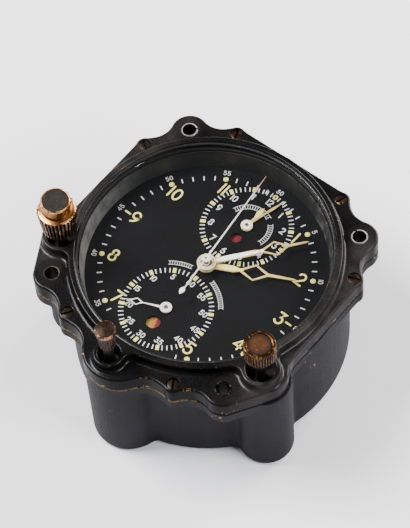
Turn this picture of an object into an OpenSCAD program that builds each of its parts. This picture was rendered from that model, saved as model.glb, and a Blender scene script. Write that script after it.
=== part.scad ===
// Aircraft clock for a 3 1/8 inch instrument panel, with an elapsed-time dial,
// a total-minutes dial and three control knobs. Millimetres. The origin is on the
// dial axis at the back face, +Z comes out of the dial and +Y is the 12 o'clock side.

/* [Panel fitting] */
// Width across the flat sides of the flange
flange_w = 82; // [80.5:0.25:84]
// Circle that the four mounting holes lie on
bolt_circle = 88.9; // [88:0.1:90]
// Mounting hole through each bush
mount_hole_d = 4.1; // [3.6:0.1:4.3]
// Outer diameter of each mounting bush
mount_bush_d = 5; // [4.8:0.1:5.6]
// Radius of the ear round each mounting hole
ear_r = 5.5; // [5:0.1:6]

/* [Case] */
// Height of the rear case from the back face to the front frame
case_h = 35.9; // [35.9:0.1:36.9]
// Thickness of the rear case flange
flange_t = 3.9; // [3.4:0.1:4.4]
// Outer radius of the drum
drum_r = 41.3; // [41:0.1:41.8]
// Wall of the drum
drum_wall = 2; // [1.6:0.1:2.1]
// Thickness of the case back
back_t = 2; // [1.6:0.1:2.4]
// Radius of the boss under the winding knob and the start button
boss_r = 8.2; // [8:0.1:8.6]
// Radius of the lobe under the elapsed-time button
lobe_r = 11; // [10.5:0.1:11.5]
// Radius of the rounded edge round the case back
back_round = 1.8; // [1.2:0.1:2]

/* [Front frame] */
// Height of the front frame from its joint to the level of the screws
frame_h = 5.6; // [5.4:0.1:6]
// Height of the raised wall round the glass above that level
wall_h = 3.1; // [2.8:0.1:3.6]
// Width of the raised wall round the glass
wall_t = 1.9; // [1.7:0.1:2]
// Radius of the glass
glass_r = 37.4; // [37:0.1:37.6]
// Thickness of the glass
glass_t = 2; // [1.6:0.1:2.2]
// Radius of the two wells for the winding knob and the start button
well_r = 4.3; // [4.1:0.1:4.5]
// Radius of the well for the elapsed-time button
small_well_r = 3.2; // [3:0.1:3.4]
// Circle that the six frame screws lie on
screw_circle_r = 43.2; // [43:0.1:43.6]
// Angle of the first frame screw from the 3 o'clock line
screw_angle = 26.6; // [26:0.2:27]
// Diameter of each frame screw's head
screw_head_d = 3.6; // [3.2:0.1:3.8]

/* [Controls] */
// Distance of the winding knob from the dial axis
wind_axis_r = 42; // [41.8:0.1:42.4]
// Distance of the start button from the dial axis
start_axis_r = 42.7; // [42.4:0.1:43]
// Distance of the elapsed-time button from the dial axis
elapsed_axis_r = 43; // [42.8:0.1:43.4]
// Radius of the winding knob at its top edge
wind_knob_r = 5.9; // [5.6:0.1:6.1]
// Height of the knurled part of the winding knob
wind_knob_h = 9; // [8.4:0.2:10]
// Height of the winding knob's lower edge above the frame
wind_knob_lift = 7; // [6:0.2:8]
// Radius of the start button
start_button_r = 4.7; // [4.3:0.1:5]
// Height of the start button's head
start_button_h = 5.8; // [5:0.2:6.4]
// Height of the start button's lower edge above the frame
start_button_lift = 10.5; // [9.5:0.25:11.5]
// Radius of the elapsed-time button at its top
elapsed_button_r = 3.15; // [2.9:0.05:3.4]
// Height of the elapsed-time button's head
elapsed_button_h = 8.6; // [8:0.2:9]
// Height of the elapsed-time button's lower edge above the frame
elapsed_button_lift = 7.2; // [6.6:0.2:7.8]
// Radius of the knob and button stems
stem_r = 1.5; // [1.3:0.05:1.6]

/* [Dial and hands] */
// Depth of the dial's face below the frame's level
dial_drop = 6.7; // [6.6:0.1:7]
// Thickness of the dial
dial_t = 0.8; // [0.6:0.1:1]
// Distance of the two small dials from the dial centre
subdial_offset = 18; // [17.6:0.1:18.4]
// Turn of the dial and the movement in the case, in degrees
dial_turn = -1.74; // [-2:0.02:0]
// Outer radius of the minute track
track_r = 31.9; // [31.4:0.1:32.4]
// Outer radius of the small dials' tracks
subtrack_r = 13.9; // [13.5:0.1:14.2]
// Length of the hour hand from its centre
hour_hand_l = 26.5; // [24:0.1:27]
// Length of the minute hand from its centre
minute_hand_l = 30.4; // [29:0.1:32]
// Length of the sweep seconds hand from its centre
seconds_hand_l = 33.1; // [32:0.1:34.2]
// Length of the long hands on the small dials
small_hand_l = 13.4; // [12.6:0.1:13.8]
// Angles of the hands past the dial's 12, in degrees
hour_at = 63.1; // [0:0.1:359]
minute_at = 37.6; // [0:0.1:359]
seconds_at = -8.25; // [-180:0.25:180]
total_at = 245.7; // [0:0.1:359]
elapsed_minute_at = 14.4; // [0:0.1:359]
elapsed_hour_at = 0.8; // [0:0.1:359]

/* [Movement] */
// Radius of the movement plates
plate_r = 36.4; // [36.2:0.1:37]
// Thickness of the main plate
main_t = 2.5; // [2.2:0.1:2.8]
// Thickness of the back plate
back_plate_t = 2; // [1.8:0.1:2.2]
// Space between the two plates
plate_gap = 10.5; // [10.5:0.1:11]
// Space between the main plate and the dial for the motion work
motion_gap = 4.5; // [4.5:0.1:5]

/* [Fits] */
// Radial clearance of a pivot or a stem that turns or slides in its hole
run = 0.05; // [0.02:0.01:0.08]
// Gap between pieces that face each other without touching
gap = 0.3; // [0.2:0.05:0.4]

/* [Hidden] */

// Smoothness of true circles, and of circles inside an offset outline
round_fn = 64;
outline_fn = 48;
// Overrun of a cutting solid past the face that it opens
cut = 0.5;

// Levels above the back face
joint_z = case_h;
face_z = case_h + frame_h;
wall_z = face_z + wall_h;
dial_z = face_z - dial_drop;
dial_back_z = dial_z - dial_t;
main_top_z = dial_back_z - motion_gap;
main_z = main_top_z - main_t;
back_top_z = main_z - plate_gap;
back_plate_z = back_top_z - back_plate_t;
flange_z = joint_z - flange_t;

// Glass, its gasket and its seat
glass_sink = 0.8;
glass_gasket_t = 0.5;
glass_fit = 0.1;
glass_top_z = wall_z - glass_sink;
glass_z = glass_top_z - glass_t;
seat_z = glass_z - glass_gasket_t;
lip_t = 1.2;
lip_z = seat_z - lip_t;
lip_r = glass_r - 0.9;
seat_w = 0.6;
ring_t = 0.5;
recess_r = glass_r + 0.7;

// Flange outline
corner_w = 43.5;
bump_r = 2.7;
knob_lobe_r = 7.5;
boss_inset = 1.2;
boss_turn = 1.1;
boss_pocket_r = 5;
fillet_r = 7;
edge_step = 0.4;
bush_proud = 0.1;
frame_joint_gasket = 0.4;
function polar(r, a) = [r * cos(a), r * sin(a)];
function turn(p, a) = [p[0] * cos(a) - p[1] * sin(a), p[0] * sin(a) + p[1] * cos(a)];
mount_points = [for (a = [45, 135, 225, 315]) polar(bolt_circle / 2, a)];
screw_angles = [screw_angle, 90 - screw_angle, 90 + screw_angle, 180 - screw_angle,
                270 - screw_angle, 270 + screw_angle];
wind_angle = 210;
start_angle = 330;
elapsed_angle = 270;
wind_p = polar(wind_axis_r, wind_angle);
start_p = polar(start_axis_r, start_angle);
elapsed_p = polar(elapsed_axis_r, elapsed_angle);
lobe_p = [0, -38.4];
wind_boss_p = polar(wind_axis_r - boss_inset, wind_angle - boss_turn);
start_boss_p = polar(start_axis_r - boss_inset, start_angle + boss_turn);

// Wall rims round the knob wells
rim_t = 1.3;
well_depth = 2.4;
well_z = face_z - well_depth;

// Frame screws
screw_r = 1.1;
screw_sink = 0.3;
screw_head_h = 1.3;
screw_slot_w = 0.6;
screw_slot_h = 0.7;
counterbore_gap = 0.1;
screw_head_z = face_z - screw_sink - screw_head_h;
screw_end_z = flange_z + 0.8;

// Control bushes and stems
bush_r = 2.6;
bush_lip_r = 2.9;
bush_lip_t = 0.6;
shelf_z = 16.5;
shelf_t = 2;
collar_r = 2.4;
collar_t = 1;
stem_end_z = 13.5;
spring_wire_r = 0.3;
spring_r = 1.95;
spring_turns = 6;
knurl_depth = 0.35;
wind_ribs = 30;
button_ribs = 36;
inlay_t = 0.6;
inlay_sink = 0.25;

// Movement positions before the dial's turn
centre_p = [0, 0];
barrel_p = [-18, 0];
third_p = [12.96, 0];
fourth_p = third_p + polar(10.2, -50);
escape_p = fourth_p + polar(9.68, -60);
pallet_p = escape_p + polar(5.8, -150);
balance_p = pallet_p + polar(10.2, -150);
total_p = [0, -subdial_offset];
elapsed_dial_p = [0, subdial_offset];

// Tooth counts and modules of the wheels
barrel_n = 80;
centre_pinion_n = 10;
barrel_m = 0.4;
centre_n = 64;
third_pinion_n = 8;
centre_m = 0.36;
third_n = 60;
fourth_pinion_n = 8;
third_m = 0.3;
fourth_n = 80;
escape_pinion_n = 8;
fourth_m = 0.22;
escape_n = 15;
escape_r = 4.4;
cannon_n = 12;
minute_n = 36;
minute_pinion_n = 10;
hour_n = 40;
motion_c = 7.2;
motion_a = 25;
elapsed_cannon_n = 10;
elapsed_motion_n = 30;
elapsed_pinion_n = 10;
elapsed_hour_n = 40;
elapsed_c = 5;
elapsed_motion_a = 65;
ratchet_n = 40;
crown_n = 32;
wind_pinion_n = 12;
total_n = 60;
total_wheel_r = 14.6;
motion_p = polar(motion_c, motion_a);
elapsed_motion_p = elapsed_dial_p + polar(elapsed_c, elapsed_motion_a);

// Levels of the wheels
barrel_z = back_top_z + 1;
barrel_h = 7;
barrel_tooth_h = 1.5;
centre_wheel_z = barrel_z + barrel_h + 0.6;
wheel_t = 0.9;
third_wheel_z = back_top_z + 4;
fourth_wheel_z = back_top_z + 7;
escape_wheel_z = back_top_z + 2.6;
end_shake = 0.2;
pivot_r = 0.35;
jewel_r = 1.1;
arbor_r = 0.7;
tooth_tip = 0.8;
tooth_root = 1.2;

// The crown wheel lies where it meshes with both the ratchet wheel and the winding pinion
wind_m = turn(wind_p, -dial_turn);
wind_d = norm(wind_m - barrel_p);
// Distance between the barrel and the winding knob, counted in tooth modules
winding_reach = 56.64;
winding_m = wind_d / winding_reach;
wind_c1 = (ratchet_n + crown_n) * winding_m / 2;
wind_c2 = (wind_pinion_n + crown_n) * winding_m / 2;
wind_dir = atan2(wind_m[1] - barrel_p[1], wind_m[0] - barrel_p[0]);
wind_bend = acos((wind_c1 ^ 2 + wind_d ^ 2 - wind_c2 ^ 2) / (2 * wind_c1 * wind_d));
crown_p = barrel_p + polar(wind_c1, wind_dir + wind_bend);

// Inside of the case
round_steps = 3;
boss_fillet = 3;
shelf_in_r = 38;
post_r = 2.8;
post_floor = 1.5;
winding_z = back_plate_z - 2.2;
winding_h = 1.4;
pinion_hub_r = 1.8;
square_w = 1.8;
lug_angles = [30, 110, 235];
lug_r = 32.8;
lug_w = 6;
lug_h = 5;
lug_screw_r = 34.6;
plate_screw_r = 0.8;
plate_screw_head_r = 1.5;
plate_screw_head_h = 1.1;

// Gasket, reflector and dial
gasket_inset = 0.5;
reflector_low_r = 35.5;
reflector_t = 0.3;
dial_r = 37.9;
dial_hole_r = 2.2;
subdial_hole_r = 1.5;
elapsed_flag_p = elapsed_dial_p - [0, 4.9];
total_flag_p = total_p - [0, 5.6];
elapsed_flag_r = 1.65;
total_flag_r = 2.1;
dial_foot_circle = 33;
dial_foot_angles = [60, 180, 300];
dial_foot_r = 1;
print_t = 0.06;
dot_r = 0.8;
tick_w = 0.35;
tick_l = 1.5;
bar_w = 0.5;
bar_l = 2.1;
bar_in = 0.3;
block_w = 1.1;
block_l = 1.5;
lower_track_minutes = 2;
screw_slots = [20, 70, 110, 150, 55, 120];

// Knobs, stems and levers
wind_taper = 0.8;
wind_collar_r = 4.45;
wind_collar_h = 4.6;
collar_step = 0.6;
rim_round = 0.5;
wind_inlay_r = 3.75;
start_taper = 0.1;
start_inlay_r = 3.4;
knob_socket = 3;
small_socket_r = 1;
button_crown = 0.5;
square_end_z = back_t + post_floor + 1;
pinion_foot_z = back_t + post_floor + gap;
crown_phase = 0;
stud_r = 1;
collar_gap = 0.1;
lever_pivot_r = 25;
lever_elbow_r = 29;
lever_in_r = 21;
lever_z = 11.5;
lever_h = 1;
lever_t = 1.2;
lever_pad = 3;
lever_gap = 0.3;
lever_pin_r = 0.5;
lever_pin_l = 5;

// Plates and pillars
back_plate_r = 32.4;
pillar_circle = 28;
pillar_angles = [10, 60, 125, 245];
pillar_r = 1.6;
tube_r = 1;
tube_in_r = 0.62;
chrono_r = 0.55;
barrel_shaft_r = 1.2;
balance_cut_r = 7.8;
total_arbor_r = 0.6;
total_boss_r = 2;
total_wheel_z = 8.5;
total_wheel_t = 0.8;
ear_w = 1.2;
ear_gap = 0.4;
ear_l = 2.4;
ear_drop = 1.2;
ear_y = lever_t / 2 + ear_gap + ear_w / 2;
motion_stud_r = 0.6;
elapsed_stud_r = 0.5;
flag_stud_r = 0.5;
elapsed_flag_pivot = elapsed_flag_p + [3, -1.2];
total_flag_pivot = total_flag_p + [3.4, -1.2];
flag_t = 0.5;
flag_drop = 0.9;
click_p = barrel_p + polar(13, 55);
click_tip_p = barrel_p + polar(10.9, 80);
click_r = 1.6;
click_tip_r = 0.3;
cock_foot_p = balance_p + polar(11.5, 75);
cock_foot_r = 2.6;
cock_t = 2;
cock_z = back_plate_z - 3.5;

// Barrel, train and escapement
barrel_phase = 0;
barrel_out_r = 15.3;
barrel_wall = 0.8;
core_r = 3.5;
spring_room = barrel_h - 2 * barrel_wall - 2 * gap;
spring_strip = 0.35;
mainspring_turns = 8;
spoke_w = 1.2;
hub_r = 2;
balance_r = 7.4;
balance_rim = 0.9;
balance_z = back_plate_z + 0.6;
balance_t = 1.3;
staff_r = 0.5;
roller_r = 2;
roller_pin = 1.5;
roller_pin_a = 30;
roller_pin_r = 0.25;
roller_z = escape_wheel_z - 1;
roller_t = 0.5;
fork_slot = 1.15;
fork_l = 8.6;
fork_w = 0.8;
hairspring_z = back_plate_z - 1.1;
hairspring_h = 0.5;
hairspring_r = 5.2;
hairspring_turns = 7;
hairspring_strip = 0.12;

// Motion work and hands, as heights above the main plate and above the dial
motion_z = main_top_z + 0.35;
motion_h = 0.8;
hour_wheel_z = motion_z + motion_h + 0.4;
cannon_r = 1.45;
cannon_in_r = 1.05;
hour_pipe_r = 1.9;
hour_pipe_in_r = 1.5;
elapsed_arbor_r = 0.5;
elapsed_pipe_r = 1.05;
elapsed_pipe_in_r = 0.6;
hand_t = 0.3;
small_hand_t = 0.2;
blade_taper = 2;
spike_l = 1;
hand_point = 0.05;
elapsed_hour_hand_l = 8;
hour_hand_z = dial_z + 1.45;
minute_hand_z = dial_z + 2.4;
seconds_hand_z = dial_z + 4.6;
elapsed_hour_hand_z = dial_z + 0.2;
elapsed_minute_hand_z = dial_z + 0.65;
total_hand_z = dial_z + 0.45;
small_top_z = dial_z + 1.15;
hub_ring_r = 2.75;
small_hub_r = 1.75;
nut_r = 1.4;
nut_h = 0.3;

// Escapement, and small allowances of the movement
escape_depth = 1.1;
escape_lean = 3;
escape_arbor_r = 0.5;
escape_tip_lean = 4.5;
fork_turn = -150;
stud_room = 1.5;
foot_room = 0.2;
chrono_flange = 0.6;
finger_turn = 60;
hand_tip = 0.01;
crown_shoulder = 0.75;

// Hollow curve between the glass wall and each well's rim, and points in a turn of a spring
wall_fillet = 3;
coil_steps = 10;
spiral_steps = 24;

// Shared shapes
module disc(r, h, z = 0) {
    translate([0, 0, z]) cylinder(r = r, h = h, $fn = round_fn);
}

module ring(r_out, r_in, h, z = 0) {
    difference() {
        disc(r_out, h, z);
        disc(r_in, h + 2 * cut, z - cut);
    }
}

module at(p) {
    translate([p[0], p[1], 0]) children();
}

module turned() {
    rotate([0, 0, dial_turn]) children();
}

// A wheel with straight-sided teeth: n teeth of module m, the first tooth at angle phase
module gear(n, m, h, z, bore, phase = 0) {
    root = m * (n / 2 - tooth_root);
    tip = m * (n / 2 + tooth_tip);
    step = 360 / n;
    root_w = 0.25;
    tip_w = 0.08;
    points = [for (i = [0 : n - 1]) each [
        polar(root, phase + (i - root_w) * step), polar(tip, phase + (i - tip_w) * step),
        polar(tip, phase + (i + tip_w) * step), polar(root, phase + (i + root_w) * step)]];
    translate([0, 0, z]) difference() {
        linear_extrude(h) polygon(points);
        if (bore > 0) disc(bore, h + 2 * cut, -cut);
    }
}

// Round openings that leave a wheel with spokes
module spokes(count, r_hub, r_rim, width, h, z) {
    translate([0, 0, z - cut]) linear_extrude(h + 2 * cut) difference() {
        circle(r = r_rim, $fn = outline_fn);
        circle(r = r_hub, $fn = outline_fn);
        for (i = [0 : count - 1]) rotate(i * 360 / count) translate([0, -width / 2])
            square([r_rim + cut, width]);
    }
}

// A spoked wheel of the going train
module wheel(n, m, z, phase) {
    difference() {
        gear(n, m, wheel_t, z, 0, phase);
        spokes(4, hub_r, m * (n / 2 - tooth_root) - spoke_w, spoke_w, wheel_t, z);
    }
}

// Phase of wheel b that meshes with wheel a, for the direction from a to b
function mesh(phase_a, n_a, n_b, a, b) =
    let (dir = atan2(b[1] - a[1], b[0] - a[0]))
    dir + 180 - (phase_a - dir) * n_a / n_b - 180 / n_b;

// An arbor between the plates with a pivot in each
module arbor(r) {
    translate([0, 0, back_top_z + end_shake])
        cylinder(r = r, h = plate_gap - 2 * end_shake, $fn = round_fn);
    disc(pivot_r, main_top_z - back_plate_z - 2 * end_shake, back_plate_z + end_shake);
}

// A ribbed round head that is r_low at its foot and r_high at its top
module knurled(r_low, r_high, h, ribs, z) {
    slices = 3;
    rib_w = 0.2;
    translate([0, 0, z]) for (s = [0 : slices - 1]) {
        r = r_low + (r_high - r_low) * (s + 0.5) / slices;
        step = 360 / ribs;
        points = [for (i = [0 : ribs - 1]) each [
            polar(r - knurl_depth, (i - 0.5) * step), polar(r, (i - rib_w) * step),
            polar(r, (i + rib_w) * step)]];
        translate([0, 0, s * h / slices]) linear_extrude(h / slices) polygon(points);
    }
}

// A coil of one unbroken round wire between two levels
module coil(r, wire, turns, z_low, z_high) {
    steps = turns * coil_steps;
    sides = 6;
    turn = 360 / coil_steps;
    rise = (z_high - z_low - 2 * wire) / steps;
    points = [for (i = [0 : steps], s = [0 : sides - 1])
        let (c = r + wire * cos(s * 360 / sides))
        [c * cos(i * turn), c * sin(i * turn), z_low + wire + i * rise + wire * sin(s * 360 / sides)]];
    walls = [for (i = [0 : steps - 1], s = [0 : sides - 1]) let (n = (s + 1) % sides) each [
        [i * sides + s, (i + 1) * sides + s, (i + 1) * sides + n],
        [i * sides + s, (i + 1) * sides + n, i * sides + n]]];
    first = [for (s = [1 : sides - 2]) [0, s, s + 1]];
    last = [for (s = [1 : sides - 2]) [steps * sides, steps * sides + s + 1, steps * sides + s]];
    polyhedron(points, concat(walls, first, last));
}

// A flat strip spring wound in one unbroken spiral
module spiral(r_in, r_out, turns, strip, h, z) {
    steps = turns * spiral_steps;
    turn = 360 / spiral_steps;
    function mid(i) = r_in + (r_out - r_in) * i / steps;
    translate([0, 0, z]) linear_extrude(h) polygon(concat(
        [for (i = [0 : steps]) polar(mid(i) + strip / 2, i * turn)],
        [for (i = [steps : -1 : 0]) polar(mid(i) - strip / 2, i * turn)]));
}

// Outline of the raised wall: round the glass and out round each knob's well, in one hollow curve
module wall_outline() {
    offset(r = -wall_fillet, $fn = outline_fn) offset(delta = wall_fillet) {
        circle(r = glass_r + glass_fit + wall_t, $fn = round_fn);
        for (k = [[wind_p, well_r], [start_p, well_r], [elapsed_p, small_well_r]])
            translate(k[0]) circle(r = k[1] + rim_t, $fn = outline_fn);
    }
}

// Outline of the flange and the front frame, drawn in by inset
module flange_outline(inset = 0) {
    offset(r = -fillet_r - inset, $fn = outline_fn) offset(r = fillet_r, $fn = outline_fn) union() {
        intersection() {
            square(flange_w, center = true);
            rotate(45) square(2 * corner_w, center = true);
        }
        for (p = mount_points) translate(p) circle(r = ear_r, $fn = outline_fn);
        for (a = screw_angles) translate(polar(screw_circle_r, a)) circle(r = bump_r, $fn = outline_fn);
        for (k = [[wind_boss_p, mount_points[2]], [start_boss_p, mount_points[3]]]) hull() {
            translate(k[0]) circle(r = knob_lobe_r, $fn = outline_fn);
            translate(k[1]) circle(r = ear_r, $fn = outline_fn);
        }
        translate(lobe_p) circle(r = lobe_r, $fn = outline_fn);
    }
}

// Outline of the drum and its three bosses
module drum_outline(inset = 0) {
    offset(r = -boss_fillet - inset, $fn = outline_fn) offset(r = boss_fillet, $fn = outline_fn) union() {
        circle(r = drum_r, $fn = 2 * outline_fn);
        for (p = [wind_boss_p, start_boss_p]) translate(p) circle(r = boss_r, $fn = outline_fn);
        translate(lobe_p) circle(r = lobe_r, $fn = outline_fn);
    }
}

module mount_cut(r, h, z) {
    for (p = mount_points) at(p) disc(r, h, z);
}

module control_cut(r, h, z) {
    for (p = [wind_p, start_p, elapsed_p]) at(p) disc(r, h, z);
}

module rear_case() {
    color("#3a393e") difference() {
        union() {
            for (s = [0 : round_steps - 1]) {
                a = 90 * s / round_steps;
                b = 90 * (s + 1) / round_steps;
                translate([0, 0, back_round * (1 - cos(a))]) linear_extrude(back_round * (cos(a) - cos(b)))
                    drum_outline(back_round * (1 - sin((a + b) / 2)));
            }
            translate([0, 0, back_round]) linear_extrude(joint_z - back_round) drum_outline();
            translate([0, 0, flange_z]) linear_extrude(flange_t) flange_outline();
        }
        disc(drum_r - drum_wall, joint_z, back_t);
        for (p = [wind_p, start_p]) at(p) disc(boss_pocket_r, flange_z - back_t, back_t);
        at(lobe_p) disc(lobe_r - drum_wall, flange_z - back_t, back_t);
        mount_cut(mount_bush_d / 2, flange_t + 2 * cut, flange_z - cut);
        control_cut(bush_r, flange_t + 2 * cut, flange_z - cut);
        for (a = screw_angles) at(polar(screw_circle_r, a))
            disc(screw_r, joint_z - screw_end_z + cut, screw_end_z);
    }
    color("#3a393e") pocket_shelves();
    color("#3a393e") case_lugs();
}

// Guide shelves across the three pockets, and the bearing post under the winding pinion
module pocket_shelves() {
    for (k = [[wind_p, boss_pocket_r], [start_p, boss_pocket_r], [lobe_p, lobe_r - drum_wall]]) difference() {
        at(k[0]) disc(k[1] + drum_wall / 2, shelf_t, shelf_z);
        disc(shelf_in_r, shelf_t + 2 * cut, shelf_z - cut);
        control_cut(stem_r + run, shelf_t + 2 * cut, shelf_z - cut);
    }
    at(wind_p) difference() {
        disc(post_r, winding_z - gap - back_t + cut, back_t - cut);
        disc(pinion_hub_r + run, winding_z - back_t, back_t + post_floor);
    }
}

// Lugs inside the drum that carry the main plate
module case_lugs() {
    turned() for (a = lug_angles) rotate(a) difference() {
        translate([lug_r, -lug_w / 2, main_z - lug_h]) cube([drum_r - drum_wall / 2 - lug_r, lug_w, lug_h]);
        translate([lug_screw_r, 0, 0]) disc(plate_screw_r, lug_h + cut, main_z - lug_h / 2);
    }
}

module front_frame() {
    color("#15151a") difference() {
        union() {
            translate([0, 0, joint_z + frame_joint_gasket])
                linear_extrude(frame_h - frame_joint_gasket - edge_step) flange_outline();
            translate([0, 0, face_z - edge_step]) linear_extrude(edge_step) flange_outline(edge_step);
            translate([0, 0, face_z - edge_step]) linear_extrude(wall_h + edge_step) wall_outline();
        }
        disc(glass_r + glass_fit, wall_z - seat_z + cut, seat_z);
        disc(lip_r, wall_z, joint_z);
        disc(recess_r, lip_z - joint_z + cut, joint_z - cut);
        for (k = [[wind_p, well_r], [start_p, well_r], [elapsed_p, small_well_r]])
            at(k[0]) disc(k[1], wall_z - well_z + cut, well_z);
        mount_cut(mount_bush_d / 2, frame_h + 2 * cut, joint_z - cut);
        control_cut(bush_r, frame_h, joint_z - cut);
        for (a = screw_angles) at(polar(screw_circle_r, a)) {
            disc(screw_head_d / 2 + counterbore_gap, face_z - screw_head_z + cut, screw_head_z);
            disc(screw_r + run, frame_h, joint_z - cut);
        }
    }
}

module case_gasket() {
    color("#2a2622") translate([0, 0, joint_z]) linear_extrude(frame_joint_gasket) difference() {
        flange_outline(gasket_inset);
        circle(r = drum_r - drum_wall, $fn = round_fn);
        for (p = mount_points) translate(p) circle(r = mount_bush_d / 2 + gap, $fn = round_fn);
        for (p = [wind_p, start_p, elapsed_p]) translate(p) circle(r = bush_r + gap, $fn = round_fn);
        for (a = screw_angles) translate(polar(screw_circle_r, a)) circle(r = screw_r + gap, $fn = round_fn);
    }
}

module glass() {
    color([0.8, 0.9, 0.9, 0.3]) disc(glass_r, glass_t, glass_z);
}

module glass_gasket() {
    color("#1c1c1c") ring(glass_r, glass_r - seat_w, glass_gasket_t, seat_z);
}

module glass_retaining_ring() {
    color("#2a2a2c") ring(glass_r + glass_fit, glass_r - seat_w, ring_t, glass_top_z);
}

module reflector_ring() {
    color("#5a5a58") rotate_extrude($fn = 2 * outline_fn) polygon([
        [reflector_low_r, dial_z], [recess_r - glass_fit, dial_z], [recess_r - glass_fit, lip_z - run],
        [lip_r - run, lip_z - run], [lip_r - run, seat_z - run], [lip_r - reflector_t, seat_z - run]]);
}

module dial() {
    color("#28282b") turned() {
        difference() {
            disc(dial_r, dial_t, dial_back_z);
            disc(dial_hole_r, dial_t + 2 * cut, dial_back_z - cut);
            at(elapsed_dial_p) disc(subdial_hole_r, dial_t + 2 * cut, dial_back_z - cut);
            at(total_p) disc(subdial_hole_r, dial_t + 2 * cut, dial_back_z - cut);
            at(elapsed_flag_p) disc(elapsed_flag_r, dial_t + 2 * cut, dial_back_z - cut);
            at(total_flag_p) disc(total_flag_r, dial_t + 2 * cut, dial_back_z - cut);
        }
        for (a = dial_foot_angles) at(polar(dial_foot_circle, a))
            disc(dial_foot_r, motion_gap + main_t / 2, dial_back_z - motion_gap - main_t / 2);
    }
}

// Printed tracks: bars for the minutes, dots and blocks of pale compound for the hours
module dial_markings() {
    color("#d8d49a") turned() {
        for (i = [0 : 59]) rotate(-6 * i) {
            if (i % 30 == 15)
                translate([0, track_r - bar_l - bar_in, dial_z]) linear_extrude(print_t)
                    translate([-bar_w / 2, 0]) square([bar_w, bar_l]);
            else if (i % 5 == 0 && i != 30)
                at([0, track_r - dot_r]) disc(dot_r, print_t, dial_z);
            else if (abs(i - 30) > lower_track_minutes)
                translate([-tick_w / 2, track_r - tick_l, dial_z]) cube([tick_w, tick_l, print_t]);
        }
        for (p = [elapsed_dial_p, total_p], i = [0 : 11]) at(p) rotate(30 * i)
            translate([-block_w / 2, subtrack_r - block_l, dial_z]) cube([block_w, block_l, print_t]);
    }
}

module mount_bushes() {
    color("#8a8a86") for (p = mount_points) at(p)
        ring(mount_bush_d / 2, mount_hole_d / 2, face_z + bush_proud - flange_z, flange_z);
}

module slotted_screw(p, head_r, head_h, head_z, shank_r, end_z, slot_a) {
    at(p) difference() {
        union() {
            disc(head_r, head_h, head_z);
            disc(shank_r, head_z - end_z, end_z);
        }
        rotate(slot_a) translate([-head_r - cut, -screw_slot_w / 2, head_z + head_h - screw_slot_h])
            cube([2 * (head_r + cut), screw_slot_w, screw_slot_h + cut]);
    }
}

module frame_screws() {
    color("#8a6a3a") for (i = [0 : len(screw_angles) - 1])
        slotted_screw(polar(screw_circle_r, screw_angles[i]), screw_head_d / 2, screw_head_h, screw_head_z,
            screw_r, screw_end_z, screw_slots[i]);
}

module control_bushes() {
    color("#3a3026") for (p = [wind_p, start_p, elapsed_p]) at(p) difference() {
        union() {
            disc(bush_r, well_z - flange_z, flange_z);
            disc(bush_lip_r, bush_lip_t, well_z);
        }
        disc(stem_r + run, face_z, flange_z - cut);
    }
}

module winding_knob() {
    low = face_z + wind_knob_lift;
    top = low + wind_knob_h;
    color("#c08a5a") at(wind_p) difference() {
        union() {
            knurled(wind_knob_r - wind_taper, wind_knob_r, wind_knob_h, wind_ribs, low);
            translate([0, 0, top]) rotate_extrude($fn = round_fn) polygon([
                [0, 0], [wind_knob_r - knurl_depth, 0], [wind_collar_r, collar_step],
                [wind_collar_r, wind_collar_h - rim_round], [wind_collar_r - rim_round, wind_collar_h],
                [0, wind_collar_h]]);
        }
        disc(wind_inlay_r, inlay_t + cut, top + wind_collar_h - inlay_t - inlay_sink);
        disc(stem_r, knob_socket + cut, low - cut);
    }
}

module winding_inlay() {
    color("#4a413c") at(wind_p)
        disc(wind_inlay_r, inlay_t,
            face_z + wind_knob_lift + wind_knob_h + wind_collar_h - inlay_t - inlay_sink);
}

module winding_stem() {
    round_end = shelf_z - gap;
    color("#9a9a98") at(wind_p) {
        disc(stem_r, face_z + wind_knob_lift + knob_socket - round_end, round_end);
        translate([-square_w / 2, -square_w / 2, square_end_z])
            cube([square_w, square_w, round_end - square_end_z]);
    }
}

module winding_pinion() {
    phase = mesh(crown_phase, crown_n, wind_pinion_n, crown_p, wind_m);
    color("#b8b8b4") turned() at(wind_m) difference() {
        union() {
            gear(wind_pinion_n, winding_m, winding_h, winding_z, 0, phase);
            disc(pinion_hub_r, winding_z - pinion_foot_z, pinion_foot_z);
            disc(pinion_hub_r, shelf_z - gap - gap - winding_z - winding_h, winding_z + winding_h);
        }
        rotate(-dial_turn) translate([-square_w / 2 - run, -square_w / 2 - run, pinion_foot_z - cut])
            cube([square_w + 2 * run, square_w + 2 * run, shelf_z]);
    }
}

module crown_wheel() {
    color("#c8c8c0") turned() at(crown_p)
        gear(crown_n, winding_m, winding_h, winding_z, stud_r + run, crown_phase);
}

// A push button's stem, with the collar that its spring lifts against the bush
module button_stem(p, top) {
    at(p) {
        disc(stem_r, top - stem_end_z, stem_end_z);
        disc(collar_r, collar_t, flange_z - collar_gap - collar_t);
    }
}

module start_button() {
    low = face_z + start_button_lift;
    color("#9a6535") at(start_p) difference() {
        knurled(start_button_r - start_taper, start_button_r, start_button_h, button_ribs, low);
        disc(start_inlay_r, inlay_t + cut, low + start_button_h - inlay_t - inlay_sink);
        disc(stem_r, knob_socket + cut, low - cut);
    }
}

module start_inlay() {
    color("#6a3f14") at(start_p)
        disc(start_inlay_r, inlay_t, face_z + start_button_lift + start_button_h - inlay_t - inlay_sink);
}

module start_stem() {
    color("#6a5030") button_stem(start_p, face_z + start_button_lift + knob_socket);
}

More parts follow.
